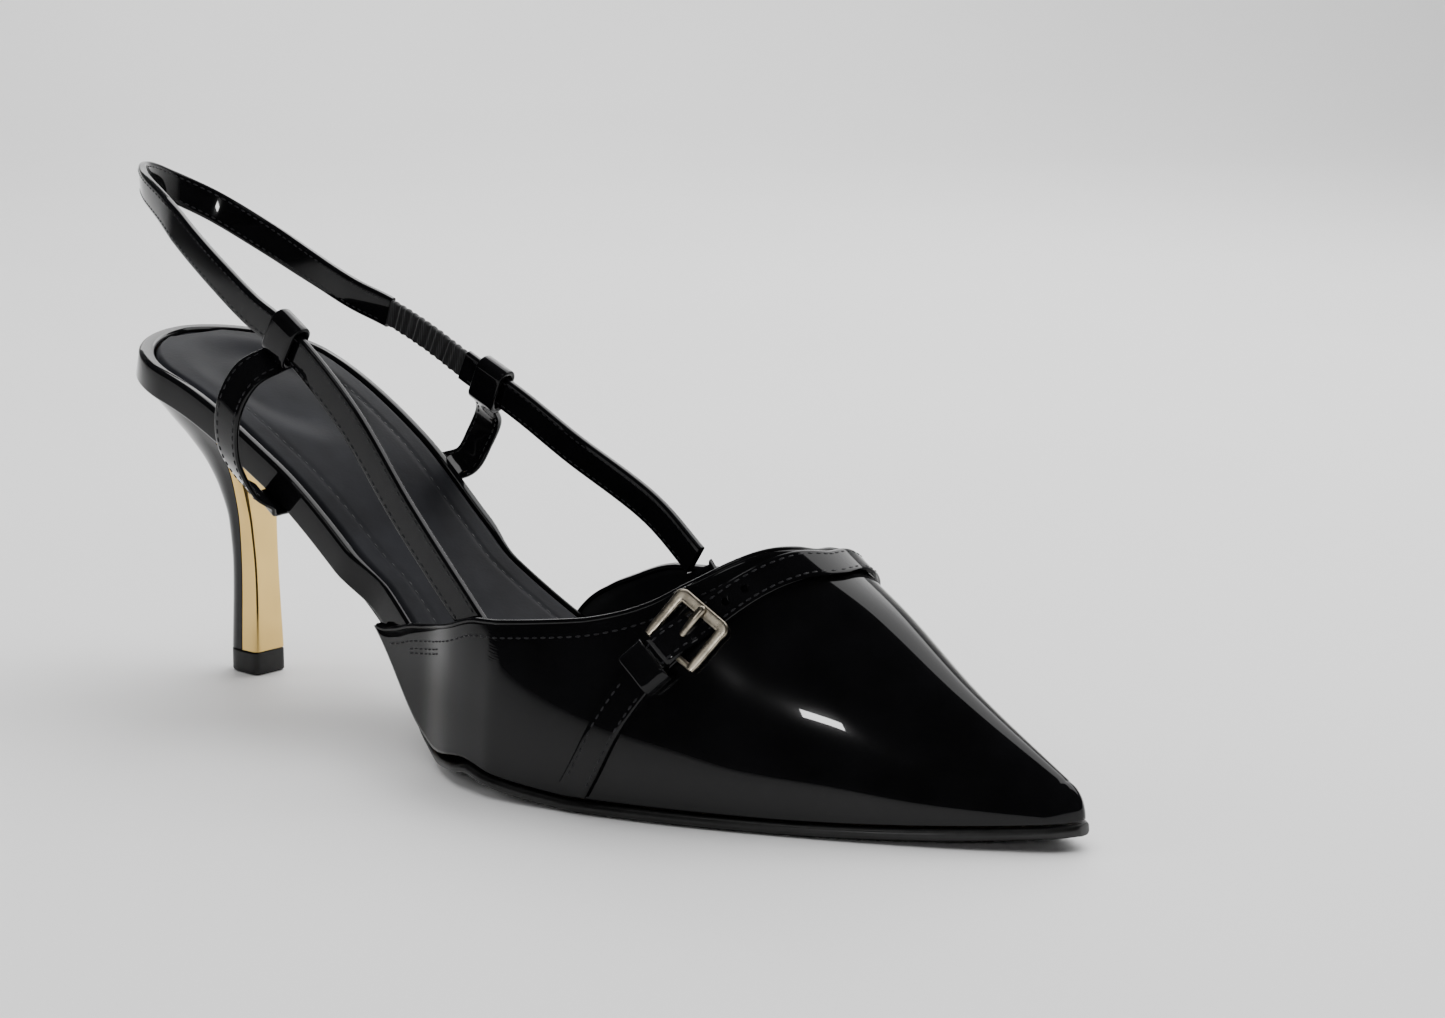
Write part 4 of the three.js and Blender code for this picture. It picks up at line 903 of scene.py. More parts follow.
class PUMP_OT_upper(bpy.types.Operator):
    """The patent upper, with its folded top edge, its lining and its stitching"""

    bl_idname = "pump.upper"
    bl_label = "Upper"

    def execute(self, context):
        patent = material_named("lacquered_leather")
        thread = material_named("sewing_thread")
        upper = shell_sheet(240, 150, lambda x: 0.0)
        piece("upper", upper, patent, "shoe_body", ["vamp_upper"], 60, UPPER_THICKNESS)
        lining = shell_sheet(120, 60, lambda x: UPPER_THICKNESS + GAP)
        lined = material_named("lining_hide")
        piece("lining", lining, lined, "shoe_body", ["vamp_lining"], 60, LINING_THICKNESS)

        outline = rounded_outline(1.3, 2.25, 0.6, 4, 1)

        def edge_place(u, across, out):
            x, angle = edge_route(u)
            at, _, _, normal = surface_at(x, angle)
            ends = [upper_point(*edge_route(clamp(u + d))) for d in (-0.004, 0.004)]
            away = normal.cross((ends[1] - ends[0]).normalized()).normalized()
            return at + away * (across + 0.15) + normal * (out - 1.03)

        edge = band_along(260, outline, edge_place)
        piece("folded_edge", edge, patent, "shoe_body", ["topline_binding"], 60)
        count = int(edge_lengths[-1] / settings().stitch_pitch)
        row = row_on_upper(edge_route, count, EDGE_SEAM, SEAM_LIFT)
        row = [entry for entry in row if entry[0].x > QUARTER_LATERAL + 6]
        for offset in TACK_ROWS:
            tack = row_on_upper(edge_route, count, offset, SEAM_LIFT)
            tack = [entry for entry in tack if 14 < entry[0].x - QUARTER_LATERAL < 27]
            row += [entry for entry in tack if entry[0].y < 0]
        piece("topline_stitching", stitch_row(row), thread, "shoe_body")
        return {"FINISHED"}


LATERAL_RAND_END = QUARTER_LATERAL + 14
MEDIAL_RAND_END = QUARTER_MEDIAL + 14
BALL_PAD_X = 156
SOCK_DEPTH = 0.12
SOCK_SEAM_INSET = 6.2
SOCK_STITCHES = 46


def tucked(x):
    """How far the footbed's edge has gone in under the quarters, from 0 to 1."""
    return smooth(x, QUARTER_LATERAL - 9, QUARTER_LATERAL)


def rand_inset(x):
    """From the footbed's side to the inner edge of its wrapping."""
    return mix(RAND_WIDTH, TUCKED_RAND_INSET + TUCKED_RAND_WIDTH, tucked(x))


def rand_point(u, profile):
    turn = 2 * u - 1
    end = LATERAL_RAND_END if turn < 0 else MEDIAL_RAND_END
    share = end / LENGTH * abs(turn) ** 1.7
    x = share * LENGTH
    across, depth = profile
    inset = mix(rand_inset(x), TUCKED_RAND_INSET * tucked(x), across)
    return bed_point(share, math.copysign(1, turn) if turn else 0.0, inset, depth)


def sock_inset(share):
    x = share * LENGTH
    lined = mix(LINED_INSET, 7, smooth(x, 0.68 * LENGTH, LENGTH))
    return mix(rand_inset(x) + 0.25, lined, smooth(x, MEDIAL_RAND_END + 2, MEDIAL_RAND_END + 12))


def sock_depth(share, side):
    """How far the sock lies below the footbed's top, with a rolled edge, a hollow seat and a padded ball."""
    x = share * LENGTH
    half = drawn_in(reaches(x)[1], sock_inset(share))
    edge = min(half * (1 - abs(side)), x - RAND_WIDTH + 1.5)
    rolled = 0.9 * clamp(1 - edge / 1.6) ** 2
    reach = math.hypot((x - 31) / 27, side * half / 18.5)
    cup = settings().heel_cup_depth * (1 - smooth(reach, 0.5, 0.98))
    ball = 0.7 * (1 - smooth(math.hypot((x - BALL_PAD_X) / 30, side * half / 26), 0.5, 1.1))
    groove = 0.22 * math.exp(-(((edge - SOCK_SEAM_INSET) / 0.5) ** 2)) * smooth(x, 30, 45)
    return SOCK_DEPTH + rolled + cup - ball + groove


def sock_place(u, w):
    share = (LENGTH - 6) / LENGTH * (1 - math.cos(math.pi * u)) / 2
    side = math.sin(math.pi * (w - 0.5))
    return bed_point(share, side, sock_inset(share), sock_depth(share, side))


def padding_place(u, w):
    share = mix(2 / LENGTH, (LENGTH - 24) / LENGTH, (1 - math.cos(math.pi * u)) / 2)
    turn = 2 * math.pi * w
    side = math.copysign(abs(math.cos(turn)) ** 0.5, math.cos(turn)) * 0.97
    depth = 2.9 + 1.05 * math.copysign(abs(math.sin(turn)) ** 0.6, -math.sin(turn))
    extra = 0.5 * (1 - smooth(math.hypot((share * LENGTH - BALL_PAD_X) / 30, side), 0.3, 1.0))
    return bed_point(share, side, sock_inset(share) + 0.5, depth + extra)


class PUMP_OT_footbed(bpy.types.Operator):
    """The sock with its hollow seat, the wrapped edge round it, and the padding beneath"""

    bl_idname = "pump.footbed"
    bl_label = "Footbed"

    def execute(self, context):
        corners = rounded_outline(2.9, BED_DEPTH, 0.95, 6, 1)
        profile = [
            ((x + 1.45) / 2.9, BED_DEPTH / 2 - y + 0.12 * (1 - (2 * y / BED_DEPTH) ** 2)) for x, y in corners
        ]
        count = len(profile)
        rand = swept(220, count, lambda u, w: rand_point(u, profile[round(w * count) % count]))
        edging = material_named("strap_patent")
        piece("wrapped_edge", rand, edging, "shoe_body", ["footbed_rand"], 60)
        sock = sheeted(200, 70, sock_place, lambda point: Vector((0.5, 0, 1)))
        leather = material_named("sock_hide")
        piece("sock", sock, leather, "shoe_body", ["sock_lining"], 60, 1.0)
        padding = swept(90, 40, padding_place)
        replaced = ["insole_foam", "heel_cushion", "ball_cushion"]
        foam = piece("footbed_padding", padding, material_named("latex_foam"), "shoe_body", replaced)
        rows = []
        for side in (-1, 1):
            for k in range(SOCK_STITCHES):
                x = 36 + k * settings().stitch_pitch * 1.25
                share = x / LENGTH
                half = drawn_in(reaches(x)[1], sock_inset(share))
                placing = side * (1 - SOCK_SEAM_INSET / half)
                at, ahead = [
                    bed_point(s, placing, sock_inset(share), sock_depth(share, placing) - 0.02)
                    for s in (share, share + 0.002)
                ]
                out = vec(math.sin(footbed_pitch(x)), 0, math.cos(footbed_pitch(x)))
                rows.append((at, (ahead - at).normalized(), out))
        thread = material_named("sewing_thread")
        piece("sock_stitching", stitch_row(rows, 1.1, 0.8), thread, "shoe_body")
        return {"FINISHED"}


SOLE_REAR = 58
SOLE_CORNERS = (5, 16)


class PUMP_OT_outsole(bpy.types.Operator):
    """The thin sole, with its rounded edge"""

    bl_idname = "pump.outsole"
    bl_label = "Outsole"

    def execute(self, context):
        rear = SOLE_REAR / LENGTH
        top = BED_DEPTH + GAP

        def inset(x):
            lip = 0.6 * (1 - smooth(x, 0.9 * LENGTH, LENGTH))
            return mix(5, -lip, smooth(x, QUARTER_LATERAL + 25, QUARTER_LATERAL + 41))

        def place(u, w):
            share = mix(rear, 1, 1 - (1 - u) ** 1.3)
            x = share * LENGTH
            tuck = tuck_under(x - (top + 4) * math.sin(footbed_pitch(x)))
            thick = mix(1.4, 2.5, smooth(x, 0.44 * LENGTH, 0.6 * LENGTH))
            half = max(reaches(x)[1], 1.0)
            across, height = sole_outline(w, half, thick)
            depth = top + 1.07 * tuck + min(tuck, 3 * GAP) + thick / 2 - height
            return bed_point(share, across, inset(x), depth)

        def sole_outline(w, half, thick):
            outline = rounded_outline(2 * half, thick, min(0.45 * thick, half / 2), *SOLE_CORNERS)
            x, y = outline[round(w * len(outline)) % len(outline)]
            return x / half, y

        sole = swept(170, len(rounded_outline(60, 2.5, 1, *SOLE_CORNERS)), place)
        rubber = material_named("sole_rubber")
        piece("sole", sole, rubber, "shoe_body", ["outsole"], 60)
        return {"FINISHED"}


def heel_column(low, high_at, sides, rings):
    """The heel's side wall from a height up to high_at(turn), closed at both ends."""

    def place(u, w):
        turn = 2 * math.pi * w
        return heel_point(turn, mix(low, high_at(turn), u))

    return swept(rings, sides, place)


def seat_height(turn):
    """Where the heel's side meets the underside of the footbed."""
    low, high = 40.0, 76.0
    for _ in range(24):
        z = (low + high) / 2
        if z < bed_underside(max(heel_point(turn, z).x, -6), BED_DEPTH + GAP):
            low = z
        else:
            high = z
    return low


def half_of(column, keep_front):
    """The part of a column before or behind the plane between black and gold."""
    plane = placed(vec(PLATE_X + (GAP / 2 if keep_front else -GAP / 2), 0, 0))
    everything = column.verts[:] + column.edges[:] + column.faces[:]
    bmesh.ops.bisect_plane(
        column, geom=everything, plane_co=plane, plane_no=(1, 0, 0),
        clear_inner=keep_front, clear_outer=not keep_front,
    )
    fill_holes(column)
    return column


class PUMP_OT_heel(bpy.types.Operator):
    """The lacquered back of the heel, its plated front and the top piece"""

    bl_idname = "pump.heel"
    bl_label = "Heel"

    def execute(self, context):
        heights = {}

        def top_at(turn):
            key = round(turn % (2 * math.pi), 6)
            if key not in heights:
                heights[key] = seat_height(turn)
            return heights[key]

        back = half_of(heel_column(HEEL_FOOT, top_at, 128, 90), False)
        lacquer, plating = material_named("heel_lacquer"), material_named("gold_plating")
        piece("heel_shell", back, lacquer, "shoe_body", ["heel_back"], 45)
        front = half_of(heel_column(HEEL_FOOT, top_at, 128, 90), True)
        piece("heel_front", front, plating, "shoe_body", ["heel_breast_plate"], 45)
        lift = heel_column(0, lambda turn: TOP_PIECE_HEIGHT, 96, 8)
        rubber = material_named("tip_rubber")
        piece("heel_tip", lift, rubber, "shoe_body", ["top_piece"], 45, rim=0.35)
        return {"FINISHED"}


HOLE_RADIUS = 0.85
SPARE_HOLES = (14.6, 19.2)
KEEPER_WALL = 0.9
STRAP_SEAM_INSET = 0.95


class PUMP_OT_vamp_strap(bpy.types.Operator):
    """Both parts of the strap over the vamp, with spare holes, stitching and a keeper"""

    bl_idname = "pump.vamp_strap"
    bl_label = "Vamp strap"

    def execute(self, context):
        patent, thread = material_named("strap_patent"), material_named("sewing_thread")
        outline = rounded_outline(STRAP_WIDTH, STRAP_THICKNESS, 0.42, 5, 7)
        arc = PIN_RADIUS + GAP + STRAP_THICKNESS / 2
        middle = GAP + STRAP_THICKNESS / 2
        folded = [(STRAP_START + (PIN_ALONG - STRAP_START) * k / 60, middle, 0.0) for k in range(61)]
        folded += [
            (PIN_ALONG + arc * math.sin(turn), PIN_OUT - arc * math.cos(turn), turn)
            for turn in [math.pi * k / 12 for k in range(1, 13)]
        ]
        folded.append((PIN_ALONG - 1.6, PIN_OUT + arc - 0.25, math.pi))
        folded.append((PIN_ALONG - 3.0, PIN_OUT + arc - 1.0, math.pi))
        steps = len(folded) - 1

        def lower_place(u, across, out):
            distance, lift, turn = folded[round(u * steps)]
            return on_strap(distance - out * math.sin(turn), across, lift + out * math.cos(turn))

        lower = band_along(steps, outline, lower_place)
        piece("strap_lower", lower, patent, "shoe_body", ["vamp_strap_lower"], 60)

        def holed_strap():
            bm = bmesh.new()
            bmesh.ops.create_grid(bm, x_segments=560, y_segments=28, size=0.5)
            for vertex in bm.verts:
                vertex.co = Vector((mix(TAIL, STRAP_END, vertex.co.x + 0.5), vertex.co.y * STRAP_WIDTH, 0))
            for hole in SPARE_HOLES:
                centre = vec(PIN_ALONG + hole, 0, 0)
                gone = [f for f in bm.faces if (f.calc_center_median() - centre).length < HOLE_RADIUS]
                bmesh.ops.delete(bm, geom=gone, context="FACES")
                for vertex in bm.verts:
                    away = vertex.co - centre
                    if vertex.is_boundary and away.length < 1.6 * HOLE_RADIUS:
                        vertex.co = centre + away.normalized() * HOLE_RADIUS
            tail = TAIL + STRAP_WIDTH / 2
            for vertex in bm.verts:
                distance, across = vertex.co.x, vertex.co.y
                if distance < tail:
                    reach = math.sqrt(max(1 - ((tail - distance) / (tail - TAIL)) ** 2, 0.0))
                    across *= mix(0.35, 1, reach)
                edge = clamp((abs(across) - (STRAP_WIDTH / 2 - 0.5)) / 0.5)
                lift = billet_lift(distance) + STRAP_THICKNESS - 0.18 * edge**2
                vertex.co = placed(on_strap(distance, across, lift))
            bm.normal_update()
            if sum(f.normal.dot(Vector((0, -0.3, 1))) for f in bm.faces) < 0:
                bmesh.ops.reverse_faces(bm, faces=bm.faces)
            return bm

        billet = holed_strap()
        replaced = ["vamp_strap_upper"]
        piece("strap_upper", billet, patent, "shoe_body", replaced, 60, 1.05, rim=0.16)
        rows = []
        for offset in (-1, 1):
            for low, high, lift_at in (
                (STRAP_START + 2, PIN_ALONG - 11, lambda s: GAP),
                (TAIL + 2, STRAP_END - 2, billet_lift),
            ):
                count = int((high - low) / settings().stitch_pitch)
                for k in range(count):
                    s = low + (k + 0.5) * settings().stitch_pitch
                    across = offset * (STRAP_WIDTH / 2 - STRAP_SEAM_INSET)
                    lift = STRAP_THICKNESS - 0.02
                    at, ahead = [on_strap(d, across, lift_at(d) + lift) for d in (s, s + 0.5)]
                    out = surface_at(*strap_route(share_at(s)))[3]
                    along = (ahead - at).normalized()
                    out = (out - along * out.dot(along)).normalized()
                    rows.append((at, along, out))
        piece("strap_stitching", stitch_row(rows), thread, "shoe_body")

        centre = PIN_ALONG - 2.6 - KEEPER_WIDTH / 2
        inner = STRAP_WIDTH / 2 + GAP + 0.7
        height = billet_lift(centre + 1.4) + STRAP_THICKNESS + GAP + 0.8
        side, crest = inner + KEEPER_WALL / 2, height + KEEPER_WALL / 2
        arch = Path([
            (-side, 0.6, 0), (-side, height - 0.8, 0), (-inner + 0.5, crest, 0), (0, crest + 0.15, 0),
            (inner - 0.5, crest, 0), (side, height - 0.8, 0), (side, 0.6, 0),
        ])
        band = rounded_outline(KEEPER_WIDTH, KEEPER_WALL, 0.38, 4, 4)
        at, _, _, out = surface_at(*strap_route(share_at(centre)))
        along = (strap_along - out * strap_along.dot(out)).normalized()
        across_dir = out.cross(along).normalized()

        def keeper_place(u, along_keeper, thick):
            p, t = arch.at(u), arch.along(u)
            q = p + vec(-t.y, t.x, 0) * thick
            return at + across_dir * q.x + out * q.y + along * along_keeper

        keeper = band_along(60, band, keeper_place)
        piece("strap_loop", keeper, patent, "shoe_body", ["vamp_strap_keeper"], 60)
        return {"FINISHED"}


BUCKLE_CORNER = 0.9
EYE_RADIUS = 1.2
EYE_WIRE = 0.28
PRONG_HALF_DEPTH = 0.62


def eye_place(u, w):
    """The prong's eye, a ring round the buckle's pin."""
    turn, round_wire = 2 * math.pi * u, 2 * math.pi * w
    reach = EYE_RADIUS + EYE_WIRE * math.sin(round_wire)
    along, out = PIN_ALONG + reach * math.cos(turn), PIN_OUT + reach * math.sin(turn)
    return on_buckle(PRONG_RADIUS * math.cos(round_wire), along, out)


class PUMP_OT_buckle(bpy.types.Operator):
    """The buckle's frame, pin and prong"""

    bl_idname = "pump.buckle"
    bl_label = "Buckle"

    def execute(self, context):
        metal = material_named("aged_metal")
        half = (BUCKLE_WIDTH - BUCKLE_BAR) / 2
        top = BUCKLE_LENGTH / 2 - 1.25
        bottom = -BUCKLE_LENGTH / 2 + 0.7
        corner = BUCKLE_CORNER
        turns = [math.pi / 2 * k / 5 for k in range(6)]
        bend = [(corner * math.sin(turn), corner * (1 - math.cos(turn))) for turn in turns]
        line = [(-half, mix(bottom, top - corner, k / 16)) for k in range(17)]
        line += [(-half + b, top - corner + a) for a, b in bend[1:]]
        line += [(mix(-half + corner, half - corner, k / 16), top) for k in range(1, 17)]
        line += [(half - corner + a, top - b) for a, b in bend[1:]]
        line += [(half, mix(top - corner, bottom, k / 16)) for k in range(1, 17)]
        steps = len(line) - 1

        def frame_place(u, across, out):
            k = round(u * steps)
            a, b = line[max(k - 1, 0)], line[min(k + 1, steps)]
            along = vec(b[0] - a[0], b[1] - a[1], 0).normalized()
            side = vec(along.y, -along.x, 0)
            at_top = smooth(line[k][1], top - 2.2, top - 0.3)
            taper = smooth(line[k][1], bottom - 0.5, bottom + 2.5)
            wide = mix(0.78, 1.0, taper) * mix(1.0, 1.22, at_top)
            p = vec(*line[k], 0) + side * across * wide
            return on_buckle(p.x, p.y, FRAME_OUT + out)

        outline = rounded_outline(BUCKLE_BAR, BUCKLE_THICKNESS, 0.45, 4, 2)
        frame_bar = band_along(steps, outline, frame_place)
        piece("buckle_bar", frame_bar, metal, "buckle", ["buckle_frame"], 60)

        def pin_place(u, w):
            turn = 2 * math.pi * w
            reach = mix(-1, 1, u) * (BUCKLE_WIDTH / 2 - 0.9)
            along, out = PIN_RADIUS * math.cos(turn), PIN_RADIUS * math.sin(turn)
            return on_buckle(reach, PIN_ALONG + along, PIN_OUT + out)

        pin = swept(8, 20, pin_place)
        piece("buckle_rod", pin, metal, "buckle", ["buckle_pin"], 60)
        tip_out = FRAME_OUT + BUCKLE_THICKNESS / 2 + 0.45 + PRONG_RADIUS
        tongue = Path([
            (PIN_ALONG, PIN_OUT + 0.1, 0),
            (PIN_ALONG + 3.5, PIN_OUT + 1.4, 0),
            (PIN_ALONG + 7.5, tip_out + 0.05, 0),
            (BUCKLE_LENGTH / 2 - 2.2, tip_out + 0.12, 0),
            (BUCKLE_LENGTH / 2 - 0.2, tip_out - 0.02, 0),
        ])

        def prong_place(u, w):
            turn = 2 * math.pi * w
            p, t = tongue.at(u), tongue.along(u)
            ending = math.sqrt(max(1 - smooth(u, 0.93, 1.0), 0.02))
            wide = PRONG_RADIUS * mix(1.0, 1.12, smooth(u, 0.55, 0.8)) * ending
            q = p + vec(-t.y, t.x, 0) * (PRONG_HALF_DEPTH * math.sin(turn) * ending)
            return on_buckle(wide * math.cos(turn), q.x, q.y)

        eye = swept(24, 12, eye_place, capped=False)
        tongue_mesh = joined([swept(48, 20, prong_place), eye])
        piece("buckle_tongue", tongue_mesh, metal, "prong", ["buckle_prong"], 60)
        return {"FINISHED"}


SEWN_LENGTH = 1.2
SEAM_PROUD = 0.03
SLING_SEAM_INSET = 1.15
RUCHE_PITCH = 1.9
RING_CLEARANCE = 1.2
LEG_SEAM_START = 0.06
LEG_SEAM_SHARE = 0.72


class PUMP_OT_sling(bpy.types.Operator):
    """The sling's straps, its elastic, its two loops and all their stitching"""

    bl_idname = "pump.sling"
    bl_label = "Sling"

    def execute(self, context):
        patent, thread = material_named("strap_patent"), material_named("sewing_thread")
        outline = rounded_outline(SLING_WIDTH, SLING_THICKNESS, 0.6, 5, 6)

        def strap(name, low, high, steps, body, node):
            def place(u, across, out):
                at, _, normal, wide = sling_frame(loop_path, mix(low, high, u))
                crown = 1 + 0.06 * math.cos(math.pi * across / SLING_WIDTH)
                return at + wide * across + normal * out * crown

            piece(name, band_along(steps, outline, place), patent, body, [node], 60)

        strap("sling_outer", 0.0, lateral_join - HALF_GAP, 90, "sling", "sling_strap_lateral")
        strap("sling_inner", medial_join + HALF_GAP, 1.0, 100, "sling", "sling_strap_medial")
        heel_start, heel_end = lateral_join + HALF_GAP, elastic_join - HALF_GAP
        strap("sling_heel", heel_start, heel_end, 240, "sling_back", "sling_heel_strap")

        def rows_on(low, high):
            rows = []
            count = int((high - low) * loop_path.length / settings().stitch_pitch)
            for k in range(count):
                at, along, out, wide = sling_frame(loop_path, mix(low, high, (k + 0.5) / count))
                for side in (-1, 1):
                    row = at + wide * side * (SLING_WIDTH / 2 - SLING_SEAM_INSET)
                    for face in (-1, 1):
                        lift = face * (SLING_THICKNESS / 2 + SEAM_PROUD)
                        rows.append((row + out * lift, along, out * face))
            return stitch_row(rows, thinner=0.9)

        margin = 2.5 / loop_path.length
        seam = rows_on(lateral_join + margin, elastic_join - margin)
        piece("sling_heel_stitching", seam, thread, "sling_back")
        both = joined([rows_on(margin, lateral_join - margin), rows_on(medial_join + margin, 1 - margin)])
        piece("sling_side_stitching", both, thread, "sling")

        def elastic_place(u, across, out):
            sewn = SEWN_LENGTH / loop_path.length
            share = mix(elastic_join - sewn, medial_join + sewn, u)
            at, _, normal, wide = sling_frame(loop_path, share)
            run = u * (medial_join - elastic_join) * loop_path.length
            held = min(smooth(u, 0, 0.12), 1 - smooth(u, 0.88, 1))
            turn = 2 * math.pi * run / RUCHE_PITCH
            ruche = math.sin(turn + 0.9 * math.sin(run * 1.3)) * (0.65 + 0.35 * math.sin(run * 2.1))
            row = math.cos(3 * math.pi * across / SLING_WIDTH)
            thick = 1 + held * 0.28 * ruche * mix(0.7, 1.0, abs(row))
            narrow = 1 + held * 0.035 * math.sin(turn + 1.1)
            return at + wide * across * narrow * 0.9 + normal * out * thick

        elastic_outline = rounded_outline(SLING_WIDTH - 0.4, 1.7, 0.7, 5, 10)
        elastic = band_along(220, elastic_outline, elastic_place)
        ribbed = material_named("ribbed_elastic")
        stretch = piece("sling_stretch_band", elastic, ribbed, None, ["sling_elastic"], 60)
        placed(MEDIAL_JOIN)
        placed(ELASTIC_JOIN)
        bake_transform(stretch)

        for name, root, end, node in (
            ("sling_tab_outer", LATERAL_ROOT, LATERAL_TAB, "sling_tab_lateral"),
            ("sling_tab_inner", MEDIAL_ROOT, MEDIAL_TAB, "sling_tab_medial"),
        ):
            tab_path = Path([root, end])
            reach = (end - root).length

            def tab_place(u, across, out, tab_path=tab_path, reach=reach):
                start = (SLING_WIDTH / 2 + GAP) ** 2 - across**2
                first = math.sqrt(max(start, 0.0)) / reach
                at, _, normal, wide = sling_frame(tab_path, mix(min(first, 0.9), 1, u))
                return at + wide * across + normal * out

            tab = band_along(12, outline, tab_place)
            piece(name, tab, patent, "shoe_body", [node], 60)

        self.loop("sling_loop_outer", "sling_keeper_lateral", LATERAL_JOIN, -1, 63.5, [
            (65.5, -35.6, 80.5), (62.5, -37.8, 74.5), (61, -38, 68.5), (60.2, -36.4, 61.5),
            (60.4, -31.8, 54.2),
        ])
        self.loop("sling_loop_inner", "sling_keeper_medial", MEDIAL_RING, 1, 65, [
            (72, 32, 63.5), (68.5, 32.8, 58), (65.5, 31, 52),
        ])
        return {"FINISHED"}

    def loop(self, name, node, centre, side, x, leg_points):
        """A strip from under the footbed's edge that loops round the strap."""
        patent = material_named("strap_patent")
        at, along, out, across = sling_frame(loop_path, loop_path.share_near(centre))
        hollow_out, hollow_across = SLING_THICKNESS + RING_CLEARANCE, SLING_WIDTH + RING_CLEARANCE
        ring_outline = rounded_outline(hollow_out + LOOP_WALL, hollow_across + LOOP_WALL, 1.9, 8, 2)
        ring_path = [vec(p, q, 0) for p, q in ring_outline]
        count = len(ring_path)
        strip = rounded_outline(LOOP_LENGTH, LOOP_WALL, 0.5, 4, 5)
        strip_count = len(strip)

        def ring_place(u, w):
            k = round(u * count) % count
            p, t = ring_path[k], (ring_path[(k + 1) % count] - ring_path[k - 1]).normalized()
            wide, thick = strip[round(w * strip_count) % strip_count]
            q = p + vec(t.y, -t.x, 0) * thick
            return at + out * q.x + across * q.y + along * wide

        ring = swept(count, strip_count, ring_place, capped=False)
        down = -1 if across.z > 0 else 1
        foot = at + across * (down * (hollow_across + LOOP_WALL) / 2)
        low = BED_DEPTH + GAP + LOOP_WALL / 2

        def beside(inset, depth):
            edge = bed_point(x / LENGTH, side, 0, depth)
            return vec(edge.x, edge.y - side * inset, edge.z)

        turned_under = [beside(inset, low + 0.2) for inset in (-1.6, 1, 3.4)]
        route = Path([foot] + leg_points + [beside(-3, low - 1.8)] + turned_under)
        pitch = footbed_pitch(x)
        bed_slope = vec(math.cos(pitch), 0, -math.sin(pitch))
        strap_slope = along * math.copysign(1, along.x)

        def leg_frame(u):
            tangent = route.along(u)
            across_leg = strap_slope.lerp(bed_slope, smooth(u, 0.3, 0.7))
            across_leg = (across_leg - tangent * across_leg.dot(tangent)).normalized()
            return tangent, across_leg, across_leg.cross(tangent)

        def leg_place(u, wide, thick):
            _, across_leg, face = leg_frame(u)
            return route.at(u) + across_leg * wide + face * thick

        leg = band_along(110, strip, leg_place)
        rows = []
        stitches = int(route.length * LEG_SEAM_SHARE / settings().stitch_pitch)
        for k in range(stitches):
            u = LEG_SEAM_START + LEG_SEAM_SHARE * (k + 0.5) / stitches
            tangent, _, face = leg_frame(u)
            for edge in (-1, 1):
                for front in (-1, 1):
                    wide, thick = edge * (LOOP_LENGTH / 2 - 1.2), front * (LOOP_WALL / 2 + SEAM_PROUD)
                    rows.append((leg_place(u, wide, thick), tangent, face * front))
        start, thread = placed(beside(0, low)), material_named("sewing_thread")
        whole = piece(name, joined([ring, leg]), patent, None, [node], 60)
        placed(foot)
        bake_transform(whole)
        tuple(start)
        seam = piece(name + "_stitching", stitch_row(rows, thinner=0.9), thread, None)
        placed(foot)
        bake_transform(seam)
        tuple(start)


class PUMP_OT_hidden(bpy.types.Operator):
    """Finishes for the pieces inside the heel and the footbed"""

    bl_idname = "pump.hidden"
    bl_label = "Inner pieces"

    def execute(self, context):
        finishes = {
            "insole_board": "pressed_board",
            "toe_puff": "pressed_board",
            "bottom_filler": "sole_rubber",  # its edge is inked to match the sole
        }
        for name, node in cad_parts.items():
            if node.hide_render:
                continue
            finish = material_named(finishes.get(name, "plain_steel"))
            if node.material_slots:
                node.material_slots[0].material = finish
            else:
                node.data.materials.append(finish)
        return {"FINISHED"}


def area_light(name, at, aim, width, height, power, seen):
    """A soft panel of light, which shiny surfaces mirror only when it is seen."""
    light = bpy.data.lights.new(name, "AREA")
    light.shape = "RECTANGLE"
    light.size, light.size_y = width, height
    light.energy = power
    obj = bpy.data.objects.new(name, light)
    obj.location = at
    obj.rotation_euler = (Vector(aim) - Vector(at)).to_track_quat("-Z", "Y").to_euler()
    obj.visible_glossy = seen
    bpy.context.scene.collection.objects.link(obj)


FLOOR_LENGTH = 6.0
FLOOR_WIDTH = 9
FLOOR_BEHIND = 2.2
FLOOR_DROP = 0.0002
FLOOR_HEADING = 40.28
BEND_START = 3.6
BEND_RADIUS = 0.6
CAMERA_ANGLES = (40.2828, 12.0327, 0.6532)
CAMERA_AIM = (217.944, -55.2476, 75.924)
CAMERA_DISTANCE = 550.381
SENSOR_WIDTH = 36
FOCAL_RATIO = 3037.13 / 1445

# Each light's name, place, aim, width, height, share of the key power, and whether shiny surfaces mirror it.
LIGHTS = (
    ("overhead", (-0.25, 0.2, 1.5), (0.0, 0.0, 0.0), 1.7, 1.3, 1.55, False),
    ("back_wash", (-1.4, 1.1, 1.3), (-1.6, 2.4, 0.3), 1.6, 1.0, 1.8, False),
    ("left_fill", (-1.2, -0.9, 0.9), (0.0, 0.0, 0.05), 0.9, 0.6, 0.4, False),
    ("rear_panel", (0.13, 0.7, 0.8), (0.08, 0.0, 0.05), 1.7, 0.85, 1.0, True),
    ("near_spark", (0.393, -0.71, 0.317), (0.083, -0.03, 0.03), 0.085, 0.03, 0.04, True),
    ("high_spark", (0.12, -0.45, 0.95), (-0.05, 0.0, 0.08), 0.3, 0.1, 0.04, True),
)


